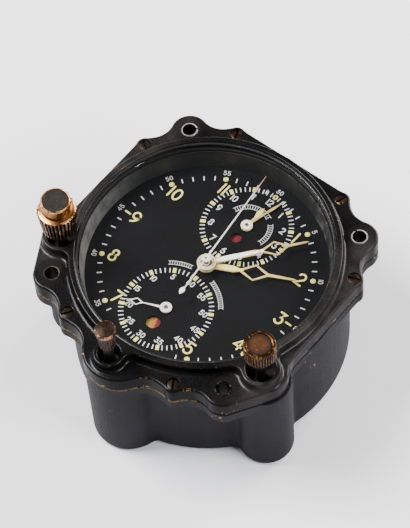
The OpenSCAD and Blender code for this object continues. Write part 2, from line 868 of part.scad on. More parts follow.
module elapsed_button() {
    low = face_z + elapsed_button_lift;
    color("#7a5038") at(elapsed_p) difference() {
        union() {
            knurled(stem_r + knurl_depth, elapsed_button_r, elapsed_button_h, button_ribs, low);
            translate([0, 0, low + elapsed_button_h]) rotate_extrude($fn = round_fn) polygon([
                [0, 0], [elapsed_button_r - knurl_depth, 0],
                [elapsed_button_r / 2, button_crown * crown_shoulder], [0, button_crown]]);
        }
        disc(small_socket_r, knob_socket + cut, low - cut);
    }
}

module elapsed_stem() {
    low = face_z + elapsed_button_lift;
    color("#6a5030") union() {
        button_stem(elapsed_p, low);
        at(elapsed_p) disc(small_socket_r, knob_socket, low);
    }
}

module start_spring() {
    color("#b0b0b0") at(start_p)
        coil(spring_r, spring_wire_r, spring_turns, shelf_z + shelf_t, flange_z - collar_gap - collar_t);
}

module elapsed_spring() {
    color("#b0b0b0") at(elapsed_p)
        coil(spring_r, spring_wire_r, spring_turns, shelf_z + shelf_t, flange_z - collar_gap - collar_t);
}

// A rocking lever under a button's stem: it turns on its pin between two ears of the back plate
module rocker(p, angle) {
    reach = norm(p) + stem_r;
    rotate(angle) {
        translate([0, lever_t / 2, 0]) rotate([90, 0, 0]) linear_extrude(lever_t) polygon([
            [lever_pivot_r, lever_z + lever_h], [lever_elbow_r, lever_z + lever_h],
            [reach - lever_pad, stem_end_z - lever_gap], [reach, stem_end_z - lever_gap],
            [reach, stem_end_z - lever_gap - lever_h], [lever_elbow_r, lever_z - lever_h / 2],
            [lever_pivot_r, lever_z - lever_h], [lever_in_r, lever_z - lever_h / 2],
            [lever_in_r, lever_z + lever_h / 2]]);
        translate([lever_pivot_r, 0, lever_z]) rotate([90, 0, 0])
            cylinder(r = lever_pin_r, h = lever_pin_l, center = true, $fn = round_fn);
    }
}

module start_lever() {
    color("#8c8c8a") rocker(start_p, start_angle);
}

module elapsed_lever() {
    color("#8c8c8a") rocker(elapsed_p, elapsed_angle);
}

train_points = [third_p, fourth_p, escape_p, pallet_p];

module plate_cuts(z, h) {
    disc(tube_r + run, h, z);
    at(barrel_p) disc(barrel_shaft_r + run, h, z);
    at(total_p) disc(total_arbor_r + run, h, z);
    for (p = train_points) at(p) disc(jewel_r, h, z);
    for (a = pillar_angles) at(polar(pillar_circle, a)) disc(plate_screw_r, h, z);
}

module main_plate() {
    color("#b59a5a") turned() {
        difference() {
            disc(plate_r, main_t, main_z);
            plate_cuts(main_z - cut, main_t + 2 * cut);
            at(balance_p) disc(jewel_r, main_t + 2 * cut, main_z - cut);
            at(elapsed_dial_p) disc(elapsed_arbor_r + run, main_t, main_top_z - main_t / 2);
            for (a = dial_foot_angles) at(polar(dial_foot_circle, a))
                disc(dial_foot_r, main_t, main_top_z - main_t / 2);
            for (a = lug_angles) at(polar(lug_screw_r, a))
                disc(plate_screw_r, main_t + 2 * cut, main_z - cut);
        }
        at(motion_p) disc(motion_stud_r, motion_gap - 1, main_top_z);
        at(elapsed_motion_p) disc(elapsed_stud_r, motion_gap - stud_room, main_top_z);
        for (p = [elapsed_flag_pivot, total_flag_pivot]) at(p)
            disc(flag_stud_r, motion_gap - flag_drop + flag_t, main_top_z);
    }
}

module back_plate() {
    color("#b59a5a") turned() {
        difference() {
            union() {
                disc(back_plate_r, back_plate_t, back_plate_z);
                at(total_p) disc(total_boss_r, back_plate_z - total_wheel_z - total_wheel_t - gap,
                    total_wheel_z + total_wheel_t + gap);
            }
            plate_cuts(total_wheel_z, back_top_z);
            at(balance_p) disc(balance_cut_r, back_plate_t + 2 * cut, back_plate_z - cut);
            at(cock_foot_p) disc(plate_screw_r, back_plate_t + 2 * cut, back_plate_z - cut);
        }
        for (p = [crown_p, click_p])
            at(p) disc(stud_r, back_plate_z - winding_z + back_plate_t / 2, winding_z);
        for (a = [start_angle, elapsed_angle], s = [-1, 1]) rotate(a - dial_turn) difference() {
            translate([lever_pivot_r - ear_l / 2, s * ear_y - ear_w / 2, lever_z - ear_drop])
                cube([ear_l, ear_w, back_plate_z - lever_z + ear_drop + back_plate_t / 2]);
            translate([lever_pivot_r, 0, lever_z]) rotate([90, 0, 0])
                cylinder(r = lever_pin_r + run, h = 2 * lever_pin_l, center = true, $fn = round_fn);
        }
    }
}

module pillars() {
    color("#c8b070") turned() for (a = pillar_angles) at(polar(pillar_circle, a))
        ring(pillar_r, plate_screw_r, plate_gap, back_top_z);
}

module movement_screws() {
    color("#5a6a8c") turned() {
        for (a = pillar_angles) {
            slotted_screw(polar(pillar_circle, a), plate_screw_head_r, plate_screw_head_h, main_top_z,
                plate_screw_r, main_z - plate_gap / 3, a);
            at(polar(pillar_circle, a)) translate([0, 0, 2 * back_plate_z]) mirror([0, 0, 1])
                slotted_screw(centre_p, plate_screw_head_r, plate_screw_head_h, back_plate_z,
                    plate_screw_r, back_plate_z - plate_gap / 3 - back_plate_t, a);
        }
        for (a = lug_angles) slotted_screw(polar(lug_screw_r, a), plate_screw_head_r, plate_screw_head_h,
            main_top_z, plate_screw_r, main_z - lug_h / 2, a);
        at(cock_foot_p) translate([0, 0, 2 * cock_z]) mirror([0, 0, 1])
            slotted_screw(centre_p, plate_screw_head_r, plate_screw_head_h, cock_z,
                plate_screw_r, 2 * cock_z - back_top_z + gap, 0);
    }
}

module train_jewels() {
    color("#b0304a") turned() {
        for (p = train_points) at(p) {
            ring(jewel_r, pivot_r + run, main_t, main_z);
            ring(jewel_r, pivot_r + run, back_plate_t, back_plate_z);
        }
        at(balance_p) {
            ring(jewel_r, pivot_r + run, main_t, main_z);
            ring(jewel_r, pivot_r + run, cock_t, cock_z);
        }
    }
}

module barrel() {
    color("#c9a24e") turned() at(barrel_p) difference() {
        union() {
            disc(barrel_out_r, barrel_h, barrel_z);
            gear(barrel_n, barrel_m, barrel_tooth_h, barrel_z + barrel_h - barrel_tooth_h, 0, barrel_phase);
        }
        disc(barrel_out_r - barrel_wall, barrel_h - 2 * barrel_wall, barrel_z + barrel_wall);
        disc(barrel_shaft_r + run, barrel_h + 2 * cut, barrel_z - cut);
    }
}

module mainspring() {
    color("#6a7080") turned() at(barrel_p)
        spiral(core_r + gap + spring_strip / 2, barrel_out_r - barrel_wall - gap - spring_strip / 2,
            mainspring_turns, spring_strip, spring_room, barrel_z + barrel_wall + gap);
}

module barrel_arbor() {
    color("#a8a8a4") turned() at(barrel_p) {
        disc(barrel_shaft_r, main_top_z - gap - winding_z + gap, winding_z - gap);
        disc(core_r, spring_room, barrel_z + barrel_wall + gap);
    }
}

module ratchet_wheel() {
    color("#c8c8c0") turned() at(barrel_p) gear(ratchet_n, winding_m, winding_h, winding_z, barrel_shaft_r,
        mesh(crown_phase, crown_n, ratchet_n, crown_p, barrel_p));
}

module click() {
    color("#8c8c8a") turned() difference() {
        translate([0, 0, winding_z]) linear_extrude(winding_h) hull() {
            translate(click_p) circle(r = click_r, $fn = outline_fn);
            translate(click_tip_p) circle(r = click_tip_r, $fn = outline_fn);
        }
        at(click_p) disc(stud_r + run, winding_h + 2 * cut, winding_z - cut);
    }
}

module centre_wheel() {
    color("#d0b060") turned() difference() {
        union() {
            wheel(centre_n, centre_m, centre_wheel_z, 0);
            gear(centre_pinion_n, barrel_m, centre_wheel_z - barrel_z - barrel_h + barrel_tooth_h + gap,
                barrel_z + barrel_h - barrel_tooth_h - gap, 0,
                mesh(barrel_phase, barrel_n, centre_pinion_n, barrel_p, centre_p));
            disc(tube_r, minute_hand_z - gap - back_plate_z - end_shake, back_plate_z + end_shake);
        }
        disc(tube_in_r, minute_hand_z, back_plate_z - cut);
    }
}

module third_wheel() {
    pinion_z = centre_wheel_z - gap;
    color("#d0b060") turned() at(third_p) {
        wheel(third_n, third_m, third_wheel_z, 0);
        gear(third_pinion_n, centre_m, main_z - end_shake - pinion_z, pinion_z, 0,
            mesh(0, centre_n, third_pinion_n, centre_p, third_p));
        arbor(arbor_r);
    }
}

module fourth_wheel() {
    color("#d0b060") turned() at(fourth_p) {
        wheel(fourth_n, fourth_m, fourth_wheel_z, 0);
        gear(fourth_pinion_n, third_m, wheel_t + 2 * gap, third_wheel_z - gap, 0,
            mesh(0, third_n, fourth_pinion_n, third_p, fourth_p));
        arbor(arbor_r);
    }
}

module escape_wheel() {
    step = 360 / escape_n;
    points = [for (i = [0 : escape_n - 1]) each [
        polar(escape_r - escape_depth, i * step), polar(escape_r, i * step + escape_lean),
        polar(escape_r, i * step + escape_tip_lean), polar(escape_r - escape_depth, i * step + step / 2)]];
    color("#c8c8c0") turned() at(escape_p) {
        translate([0, 0, escape_wheel_z]) linear_extrude(wheel_t) polygon(points);
        gear(escape_pinion_n, fourth_m, wheel_t + 2 * gap, fourth_wheel_z - gap, 0,
            mesh(0, fourth_n, escape_pinion_n, fourth_p, escape_p));
        arbor(escape_arbor_r);
    }
}

module pallet_fork() {
    stone_back = 1.7;
    stone_side = 2.9;
    stone_p = [[-stone_back, stone_side], [-stone_back, -stone_side]];
    stone_r = 0.35;
    hub = 1;
    horn_l = 1.5;
    horn_y = fork_slot + fork_w / 2;
    color("#9a9a98") turned() at(pallet_p) rotate(fork_turn) {
        translate([0, 0, escape_wheel_z]) linear_extrude(wheel_t) {
            circle(r = hub, $fn = outline_fn);
            translate([0, -fork_w / 2]) square([fork_l - horn_l, fork_w]);
            translate([fork_l - horn_l - fork_w / 2, -horn_y - fork_w / 2])
                square([fork_w, 2 * horn_y + fork_w]);
            for (s = [-1, 1]) translate([fork_l - horn_l, s * horn_y - fork_w / 2]) square([horn_l, fork_w]);
            for (p = stone_p) hull() {
                circle(r = hub / 2, $fn = outline_fn);
                translate(p) circle(r = stone_r, $fn = outline_fn);
            }
        }
        arbor(escape_arbor_r);
    }
}

module balance_wheel() {
    color("#d8c080") turned() at(balance_p) {
        difference() {
            disc(balance_r, balance_t, balance_z);
            spokes(3, hub_r, balance_r - balance_rim, spoke_w, balance_t, balance_z);
        }
        disc(staff_r, main_z - end_shake - cock_z - cock_t - end_shake, cock_z + cock_t + end_shake);
        disc(pivot_r, main_top_z - end_shake - cock_z - end_shake, cock_z + end_shake);
        disc(roller_r, roller_t, roller_z);
        at(polar(roller_pin, roller_pin_a)) disc(roller_pin_r, wheel_t + escape_wheel_z - roller_z, roller_z);
    }
}

module hairspring() {
    color("#5a6a8c") turned() at(balance_p)
        spiral(staff_r + hairspring_strip / 2, hairspring_r, hairspring_turns, hairspring_strip,
            hairspring_h, hairspring_z);
}

module balance_cock() {
    color("#b59a5a") turned() difference() {
        union() {
            translate([0, 0, cock_z]) linear_extrude(cock_t) hull() for (p = [balance_p, cock_foot_p])
                translate(p) circle(r = cock_foot_r, $fn = outline_fn);
            at(cock_foot_p) disc(cock_foot_r, back_plate_z - cock_z, cock_z);
        }
        at(balance_p) disc(jewel_r, cock_t + 2 * cut, cock_z - cut);
        at(cock_foot_p) disc(plate_screw_r, back_plate_z, cock_z - cut);
    }
}

module cannon_pinion() {
    color("#a8a8a4") turned() {
        gear(cannon_n, 2 * motion_c / (cannon_n + minute_n), motion_h, motion_z, cannon_in_r, 0);
        ring(cannon_r, cannon_in_r, minute_hand_z + hand_t - motion_z, motion_z);
    }
}

module minute_wheel() {
    m_wheel = 2 * motion_c / (cannon_n + minute_n);
    m_pinion = 2 * motion_c / (minute_pinion_n + hour_n);
    color("#d0b060") turned() at(motion_p) {
        gear(minute_n, m_wheel, motion_h, motion_z, motion_stud_r + run,
            mesh(0, cannon_n, minute_n, centre_p, motion_p));
        gear(minute_pinion_n, m_pinion, hour_wheel_z - motion_z, motion_z + motion_h, motion_stud_r + run, 0);
    }
}

module hour_wheel() {
    m = 2 * motion_c / (minute_pinion_n + hour_n);
    color("#d0b060") turned() {
        gear(hour_n, m, motion_h, hour_wheel_z, hour_pipe_in_r,
            mesh(0, minute_pinion_n, hour_n, motion_p, centre_p));
        ring(hour_pipe_r, hour_pipe_in_r, hour_hand_z - hour_wheel_z, hour_wheel_z);
    }
}

// A hand that points up: widths is a list of [distance from the centre, half width]
module hand_blade(widths) {
    polygon(concat([for (w = widths) [w[1], w[0]]],
        [for (i = [len(widths) - 1 : -1 : 0]) [-widths[i][1], widths[i][0]]]));
}

// An open lozenge between two distances, half as wide as half_w at its widest point
module lozenge(from, mid, to, half_w, line) {
    difference() {
        hand_blade([[from, line / 2], [mid, half_w], [to, line / 2]]);
        hand_blade([[from + 2 * line, hand_tip], [mid, half_w - line], [to - 2 * line, hand_tip]]);
    }
}

module placed_hand(p, angle, z, t, bore) {
    turned() at(p) rotate(-angle) difference() {
        translate([0, 0, z]) linear_extrude(t) children();
        disc(bore, t + 2 * cut, z - cut);
    }
}

module hour_hand() {
    blade_l = 10;
    blade_w = 2.2;
    neck = 0.5;
    loz_mid = 14.2;
    loz_end = 18.7;
    loz_w = 5.6;
    spike_w = 0.6;
    color("#e8dc98") placed_hand(centre_p, hour_at, hour_hand_z, hand_t, hour_pipe_in_r) {
        circle(r = hub_ring_r, $fn = outline_fn);
        hand_blade([[0, blade_w / 2], [blade_l - blade_taper, blade_w / 2], [blade_l, neck]]);
        lozenge(blade_l - neck, loz_mid, loz_end, loz_w / 2, neck);
        hand_blade([[loz_end - neck, neck], [hour_hand_l - spike_l, spike_w / 2],
            [hour_hand_l, hand_point]]);
    }
}

module minute_hand() {
    blade_l = 16.3;
    blade_w = 1.8;
    neck = 0.45;
    loz_mid = 20.5;
    loz_end = 24.4;
    loz_w = 5;
    spike_w = 0.5;
    color("#e8e4d8") placed_hand(centre_p, minute_at, minute_hand_z, hand_t, cannon_r) {
        circle(r = hub_ring_r, $fn = outline_fn);
        hand_blade([[0, blade_w / 2], [blade_l - blade_taper, blade_w / 2], [blade_l, neck]]);
        lozenge(blade_l - neck, loz_mid, loz_end, loz_w / 2, neck);
        hand_blade([[loz_end - neck, neck], [minute_hand_l - spike_l, spike_w / 2],
            [minute_hand_l, hand_point]]);
    }
    color("#e8e4d8") turned() ring(hub_ring_r, cannon_r, hand_t, minute_hand_z + hand_t);
}

module chrono_arbor() {
    finger_l = subdial_offset - total_wheel_r * (1 + 2 * tooth_tip / total_n) - gap;
    color("#a8a8a4") turned() {
        disc(chrono_r, seconds_hand_z + hand_t - total_wheel_z + gap, total_wheel_z - gap);
        disc(chrono_r + chrono_flange, total_wheel_t, total_wheel_z);
        rotate(finger_turn) translate([0, -chrono_r, total_wheel_z])
            cube([finger_l, 2 * chrono_r, total_wheel_t]);
    }
}

module seconds_hand() {
    tail = 14.1;
    leaf_l = 2.6;
    leaf_w = 1.6;
    loz_mid = 27.5;
    loz_l = 4;
    loz_w = 1.8;
    line = 0.5;
    collet_w = 0.4;
    color("#d8d0c0") {
        placed_hand(centre_p, seconds_at, seconds_hand_z, hand_t, chrono_r) {
            circle(r = nut_r + collet_w, $fn = outline_fn);
            hand_blade([[-tail, hand_point], [leaf_w / 2 - tail, leaf_w / 2], [leaf_l - tail, line / 2],
                [loz_mid - loz_l / 2, line / 2], [loz_mid, loz_w / 2], [loz_mid + loz_l / 2, line / 2],
                [seconds_hand_l, hand_point]]);
        }
        turned() disc(nut_r, nut_h, seconds_hand_z + hand_t);
    }
}

module total_arbor() {
    m = 2 * total_wheel_r / total_n;
    color("#a8a8a4") turned() at(total_p) {
        gear(total_n, m, total_wheel_t, total_wheel_z, 0, 90 + 180 / total_n);
        disc(total_arbor_r, small_top_z - total_wheel_z + gap, total_wheel_z - gap);
        disc(total_boss_r, 1, main_z - gap - 1);
    }
}

module total_hand() {
    line = 0.3;
    root_w = 0.8;
    loz_from = 6.8;
    loz_mid = 8.8;
    loz_end = 11;
    loz_w = 2.4;
    color("#e8e4d8") {
        placed_hand(total_p, total_at, total_hand_z, small_hand_t, total_arbor_r) {
            circle(r = small_hub_r, $fn = outline_fn);
            hand_blade([[0, root_w / 2], [loz_from + line, line / 2]]);
            lozenge(loz_from, loz_mid, loz_end, loz_w / 2, line);
            hand_blade([[loz_end - line, line / 2], [small_hand_l, hand_point]]);
        }
        turned() at(total_p) ring(small_hub_r, total_arbor_r, gap, total_hand_z + small_hand_t);
    }
}

module elapsed_arbor() {
    m = 2 * elapsed_c / (elapsed_cannon_n + elapsed_motion_n);
    foot_z = main_top_z - main_t / 2 + foot_room;
    color("#a8a8a4") turned() at(elapsed_dial_p) {
        gear(elapsed_cannon_n, m, motion_h, motion_z, 0, 0);
        disc(elapsed_arbor_r, small_top_z - foot_z, foot_z);
    }
}

module elapsed_motion_wheel() {
    m_wheel = 2 * elapsed_c / (elapsed_cannon_n + elapsed_motion_n);
    m_pinion = 2 * elapsed_c / (elapsed_pinion_n + elapsed_hour_n);
    color("#d0b060") turned() at(elapsed_motion_p) {
        gear(elapsed_motion_n, m_wheel, motion_h, motion_z, elapsed_stud_r + run,
            mesh(0, elapsed_cannon_n, elapsed_motion_n, elapsed_dial_p, elapsed_motion_p));
        gear(elapsed_pinion_n, m_pinion, hour_wheel_z - motion_z, motion_z + motion_h,
            elapsed_stud_r + run, 0);
    }
}

module elapsed_hour_wheel() {
    m = 2 * elapsed_c / (elapsed_pinion_n + elapsed_hour_n);
    color("#d0b060") turned() at(elapsed_dial_p) {
        gear(elapsed_hour_n, m, motion_h, hour_wheel_z, elapsed_pipe_in_r,
            mesh(0, elapsed_pinion_n, elapsed_hour_n, elapsed_motion_p, elapsed_dial_p));
        ring(elapsed_pipe_r, elapsed_pipe_in_r, elapsed_hour_hand_z - hour_wheel_z, hour_wheel_z);
    }
}

module elapsed_hour_hand() {
    root_w = 1;
    neck = 3.6;
    neck_w = 0.6;
    loz_mid = 5.7;
    loz_w = 1.9;
    color("#e8dc98") placed_hand(elapsed_dial_p, elapsed_hour_at, elapsed_hour_hand_z, small_hand_t,
        elapsed_pipe_in_r) {
        circle(r = small_hub_r, $fn = outline_fn);
        hand_blade([[0, root_w / 2], [neck, neck_w / 2], [loz_mid, loz_w / 2],
            [elapsed_hour_hand_l, hand_point]]);
    }
}

module elapsed_minute_hand() {
    root_w = 0.8;
    line = 0.5;
    loz_mid = 9.5;
    loz_from = 7;
    loz_end = 11;
    loz_w = 0.9;
    color("#e8dc98") {
        placed_hand(elapsed_dial_p, elapsed_minute_at, elapsed_minute_hand_z, small_hand_t, elapsed_arbor_r) {
            circle(r = small_hub_r, $fn = outline_fn);
            hand_blade([[0, root_w / 2], [loz_from, line / 2], [loz_mid, loz_w / 2], [loz_end, line / 2],
                [small_hand_l, hand_point]]);
        }
        turned() at(elapsed_dial_p) ring(small_hub_r, elapsed_arbor_r, small_hand_t,
            elapsed_minute_hand_z + small_hand_t);
    }
}

// A painted disc under a small window of the dial
module flag(pivot, window, window_r) {
    turned() at(pivot)
        ring(norm(pivot - window) + window_r, flag_stud_r + run, flag_t, dial_back_z - flag_drop);
}

module elapsed_flag() {
    color("#9a1c20") flag(elapsed_flag_pivot, elapsed_flag_p, elapsed_flag_r);
}

module total_flag() {
    color("#e08030") flag(total_flag_pivot, total_flag_p, total_flag_r);
}

rear_case();
front_frame();
case_gasket();
glass();
glass_gasket();
glass_retaining_ring();
reflector_ring();
dial();
dial_markings();
mount_bushes();
frame_screws();
control_bushes();
winding_knob();
winding_inlay();
winding_stem();
winding_pinion();
crown_wheel();
start_button();
start_inlay();
start_stem();
start_spring();
start_lever();
elapsed_button();
elapsed_stem();
elapsed_spring();
elapsed_lever();
main_plate();
back_plate();
pillars();
movement_screws();
train_jewels();
barrel();
mainspring();
barrel_arbor();
ratchet_wheel();
click();
centre_wheel();
third_wheel();
fourth_wheel();
escape_wheel();
pallet_fork();
balance_wheel();
hairspring();
balance_cock();
cannon_pinion();
minute_wheel();
hour_wheel();
hour_hand();
minute_hand();
chrono_arbor();
seconds_hand();
total_arbor();
total_hand();
elapsed_arbor();
elapsed_minute_hand();
elapsed_hour_wheel();
elapsed_hour_hand();
elapsed_motion_wheel();
elapsed_flag();
total_flag();
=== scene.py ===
# %% [markdown]
# # An aircraft clock, dressed in Blender
# The clock sits in an instrument panel: a painted case with a square, eared flange, a round glass,
# a black dial with pale figures, three knobs and, inside, a whole movement. The solids of every piece
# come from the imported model, in metres, and stay where they are. This script gives each of them its
# real finish, and builds again, with rounded edges and fine detail, the pieces that the eye rests on.

# %% Load the fixed frame
import math

import bmesh
import bpy
import numpy as np
from mathutils import Matrix, Vector


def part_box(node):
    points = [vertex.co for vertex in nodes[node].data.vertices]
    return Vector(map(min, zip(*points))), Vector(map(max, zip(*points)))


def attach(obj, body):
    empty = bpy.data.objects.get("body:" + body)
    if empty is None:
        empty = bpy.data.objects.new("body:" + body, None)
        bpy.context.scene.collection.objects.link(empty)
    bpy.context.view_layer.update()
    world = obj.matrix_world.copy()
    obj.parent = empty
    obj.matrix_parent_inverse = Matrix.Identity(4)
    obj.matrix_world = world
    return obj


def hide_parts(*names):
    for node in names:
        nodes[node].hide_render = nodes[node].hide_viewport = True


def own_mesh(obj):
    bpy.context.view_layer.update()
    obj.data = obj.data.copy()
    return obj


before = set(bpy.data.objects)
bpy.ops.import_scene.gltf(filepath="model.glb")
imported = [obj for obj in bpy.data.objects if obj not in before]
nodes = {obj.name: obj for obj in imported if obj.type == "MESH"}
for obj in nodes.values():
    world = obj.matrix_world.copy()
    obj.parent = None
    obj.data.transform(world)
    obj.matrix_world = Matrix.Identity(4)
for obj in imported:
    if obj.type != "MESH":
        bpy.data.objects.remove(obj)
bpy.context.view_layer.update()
MM = 0.001

# %% [markdown]
# ## Camera
# The photograph was taken from the 4 o'clock side, about 57 degrees above the dial's plane. The
# camera's place was worked out from the four mounting holes, whose distance apart is known. It is a
# long lens about 0.7 m away, so the perspective is mild. Blender fits the sensor's width to the
# picture's long side, which turns a focal length in pixels into one in millimetres.

# %% Camera
PICTURE_LONG_SIDE = 528
SENSOR_MM = 36.0
FOCAL_PIXELS = 2502.27
NEAREST_SEEN = 50 * MM
CAMERA_AT = Vector((265.5, -283.1, 645.0)) * MM
CAMERA_RIGHT = Vector((0.7785, 0.6257, -0.0493))
CAMERA_UP = Vector((-0.5082, 0.6745, 0.5356))
camera_data = bpy.data.cameras.new("camera")
camera_data.sensor_width = SENSOR_MM
camera_data.lens = FOCAL_PIXELS * SENSOR_MM / PICTURE_LONG_SIDE
camera_data.clip_start = NEAREST_SEEN
camera = bpy.data.objects.new("camera", camera_data)
camera_back = CAMERA_RIGHT.cross(CAMERA_UP).normalized()
camera_up = camera_back.cross(CAMERA_RIGHT).normalized()
camera_axes = Matrix((CAMERA_RIGHT.normalized(), camera_up, camera_back)).transposed()
camera.matrix_world = Matrix.Translation(CAMERA_AT) @ camera_axes.to_4x4()
bpy.context.scene.collection.objects.link(camera)
bpy.context.scene.camera = camera
print("camera lens", round(camera_data.lens, 2), "mm")

# %% [markdown]
# ## Colours and nodes
# Colours are written as sRGB hex, the way they are picked from a screen, and one function turns them
# to the linear values that shaders expect. One more function adds a node of any kind, in a material
# or in a Geometry Nodes tree, sets its properties and plugs in its inputs.

# %% Colour and node helpers
def colour(code):
    """Linear RGBA of an sRGB hex colour such as #c08a5a."""
    parts = [int(code[i:i + 2], 16) / 255 for i in (1, 3, 5)]
    linear = [c / 12.92 if c <= 0.04045 else ((c + 0.055) / 1.055) ** 2.4 for c in parts]
    return (*linear, 1.0)


def add(tree, kind, inputs=(), **settings):
    """A new node. inputs are values or other nodes' outputs, in order, or by a socket's name or number."""
    node = tree.nodes.new(kind)
    for name, value in settings.items():
        setattr(node, name, value)
    for key, value in (inputs.items() if isinstance(inputs, dict) else enumerate(inputs)):
        if isinstance(value, bpy.types.NodeSocket):
            tree.links.new(value, node.inputs[key])
        else:
            node.inputs[key].default_value = value
    return node


print("mid grey is", round(colour("#808080")[0], 3), "in linear light")

# %% [markdown]
# ## Floor and light
# The clock stands on a plain pale table under soft studio light. Gloss black paint shows little of
# its own colour and mostly what it mirrors, so the lamps are large and few: one broad window of light
# behind the clock draws the bright lines on the frame, one from the left shapes the knobs, and a weak
# one from the right opens the shadows of the drum.

# %% Floor
FLOOR_SIZE = 6.0
FLOOR_COLOUR = "#f4f3f6"
FLOOR_ROUGHNESS = 0.7
half = FLOOR_SIZE / 2
floor_mesh = bpy.data.meshes.new("floor")
floor_mesh.from_pydata(
    [(-half, -half, 0), (half, -half, 0), (half, half, 0), (-half, half, 0)], [], [(0, 1, 2, 3)]
)
floor = bpy.data.objects.new("floor", floor_mesh)
bpy.context.scene.collection.objects.link(floor)
# Matt table paint: almost no gloss, so it shows soft shadows and no mirror image.
floor_paint = bpy.data.materials.new("matt_table_paint")
floor_paint.use_nodes = True
floor_shader = floor_paint.node_tree.nodes["Principled BSDF"]
floor_shader.inputs["Base Color"].default_value = colour(FLOOR_COLOUR)
floor_shader.inputs["Roughness"].default_value = FLOOR_ROUGHNESS
floor_mesh.materials.append(floor_paint)
print("floor of", FLOOR_SIZE, "m")

# %% Lamps and world
DIAL_AIM = Vector((0, 0, 0.035))
LAMPS = [
    # name, place, width and height in metres, power in watts, tint
    ("window_lamp", (0.15, 0.8, 0.4), 0.7, 0.3, 16, "#fffaf2"),
    ("left_lamp", (-0.55, -0.25, 0.8), 0.5, 0.5, 25, "#ffffff"),
    ("right_lamp", (0.6, 0.1, 0.6), 0.4, 0.3, 8, "#f4f7ff"),
]
STUDIO_AIR, STUDIO_AIR_STRENGTH = "#b9bcc0", 0.28
for name, place_at, width, height, power, tint in LAMPS:
    data = bpy.data.lights.new(name, "AREA")
    data.shape = "RECTANGLE"
    data.size, data.size_y, data.energy = width, height, power
    data.color = colour(tint)[:3]
    lamp = bpy.data.objects.new(name, data)
    lamp.location = place_at
    lamp.rotation_euler = (DIAL_AIM - Vector(place_at)).to_track_quat("-Z", "Y").to_euler()
    bpy.context.scene.collection.objects.link(lamp)
world = bpy.data.worlds.new("studio_air")
world.use_nodes = True
world.node_tree.nodes["Background"].inputs["Color"].default_value = colour(STUDIO_AIR)
world.node_tree.nodes["Background"].inputs["Strength"].default_value = STUDIO_AIR_STRENGTH
bpy.context.scene.world = world
print(len(LAMPS), "lamps")

# %% [markdown]
# ## Outlines cut from the frame
# The case and the front frame are castings with long, soft outlines: ears round the mounting holes,
# lobes under the knobs, hollows between them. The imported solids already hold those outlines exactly,
# so nothing is drawn twice: a level plane is passed through a node, and the triangles that it crosses
# give closed loops of points. From such loops a plate is raised again, this time with rounded edges,
# because an edge without a radius catches no light and looks like paper.

# %% Outlines cut by a level plane
NEAREST_POINTS = 0.12 * MM


def section(node_name, height):
    """Closed outlines that a level plane cuts from a CAD node, the outer one first, holes after it."""
    mesh = nodes[node_name].data
    mesh.calc_loop_triangles()
    points = np.array([v.co for v in mesh.vertices])
    follows, spot_of = {}, {}
    for triangle in mesh.loop_triangles:
        corners = list(triangle.vertices)
        above = [points[c][2] >= height for c in corners]
        if all(above) or not any(above):
            continue
        ends = [None, None]
        for i in range(3):
            a, b = corners[i], corners[(i + 1) % 3]
            if above[i] != above[(i + 1) % 3]:
                share = (height - points[a][2]) / (points[b][2] - points[a][2])
                spot = points[a] + (points[b] - points[a]) * share
                key = (round(spot[0], 6), round(spot[1], 6))
                spot_of[key] = spot[:2]
                ends[1 if above[i] else 0] = key
        if ends[0] != ends[1]:
            follows[ends[0]] = ends[1]
    loops = []
    while follows:
        start, at = follows.popitem()
        keys = [start]
        while at in follows:
            keys.append(at)
            at = follows.pop(at)
        loops.append(thinned(np.array([spot_of[k] for k in keys])))
    loops = [loop for loop in loops if len(loop) > 2]
    loops.sort(key=lambda loop: -abs(signed_area(loop)))
    if signed_area(loops[0]) < 0:
        loops = [loop[::-1] for loop in loops]
    return loops


def signed_area(loop):
    """The area inside a loop, above zero where it runs anticlockwise."""
    after = np.roll(loop, -1, axis=0)
    return 0.5 * float(np.sum(loop[:, 0] * after[:, 1] - loop[:, 1] * after[:, 0]))


def thinned(loop):
    """The loop without points that crowd the one before them."""
    kept = [loop[0]]
    for point in loop[1:]:
        if np.hypot(*(point - kept[-1])) > NEAREST_POINTS:
            kept.append(point)
    if np.hypot(*(kept[0] - kept[-1])) < NEAREST_POINTS:
        kept.pop()
    return np.array(kept)


print("outlines keep points", round(NEAREST_POINTS / MM, 2), "mm apart")

# %% [markdown]
# ## Rounded plates
# A plate is a stack of copies of its outline, joined ring by ring. Drawing the first and last rings in
# along a quarter circle rounds its edges, holes included, without a Bevel that could slip at hollows.

# %% Outlines drawn in
# At a sharp corner an outline moves no further than 1 / LEAST_COSINE times the distance.
LEAST_COSINE = 0.5


def left_normals(steps):
    """Unit vectors to the left of each step along a loop."""
    return np.stack([-steps[:, 1], steps[:, 0]], axis=1) / np.hypot(steps[:, 0], steps[:, 1])[:, None]


def drawn_in(loop, distance):
    """The loop moved by distance to its left, which is into the material for both kinds of loop."""
    before, after = np.roll(loop, 1, axis=0), np.roll(loop, -1, axis=0)
    one, two = left_normals(loop - before), left_normals(after - loop)
    middle = one + two
    middle /= np.hypot(middle[:, 0], middle[:, 1])[:, None]
    stretch = 1 / np.maximum(np.sum(middle * one, axis=1), LEAST_COSINE)
    return loop + middle * (distance * stretch)[:, None]


def quarter(radius, steps):
    """(inset, height) pairs of a quarter circle that leaves a flat face and ends on a wall."""
    if radius == 0:
        return [(0.0, 0.0)]
    turns = [math.pi / 2 * i / steps for i in range(steps + 1)]
    return [(radius * (1 - math.sin(t)), radius * (1 - math.cos(t))) for t in turns]


print("corners stretch at most", 1 / LEAST_COSINE, "times")

# %% Plates
def new_piece(name, bm):
    """Turns a bmesh into a linked object at the origin, with its faces outwards."""
    bmesh.ops.recalc_face_normals(bm, faces=bm.faces)
    mesh = bpy.data.meshes.new(name)
    bm.to_mesh(mesh)
    bm.free()
    made = bpy.data.objects.new(name, mesh)
    bpy.context.scene.collection.objects.link(made)
    return made


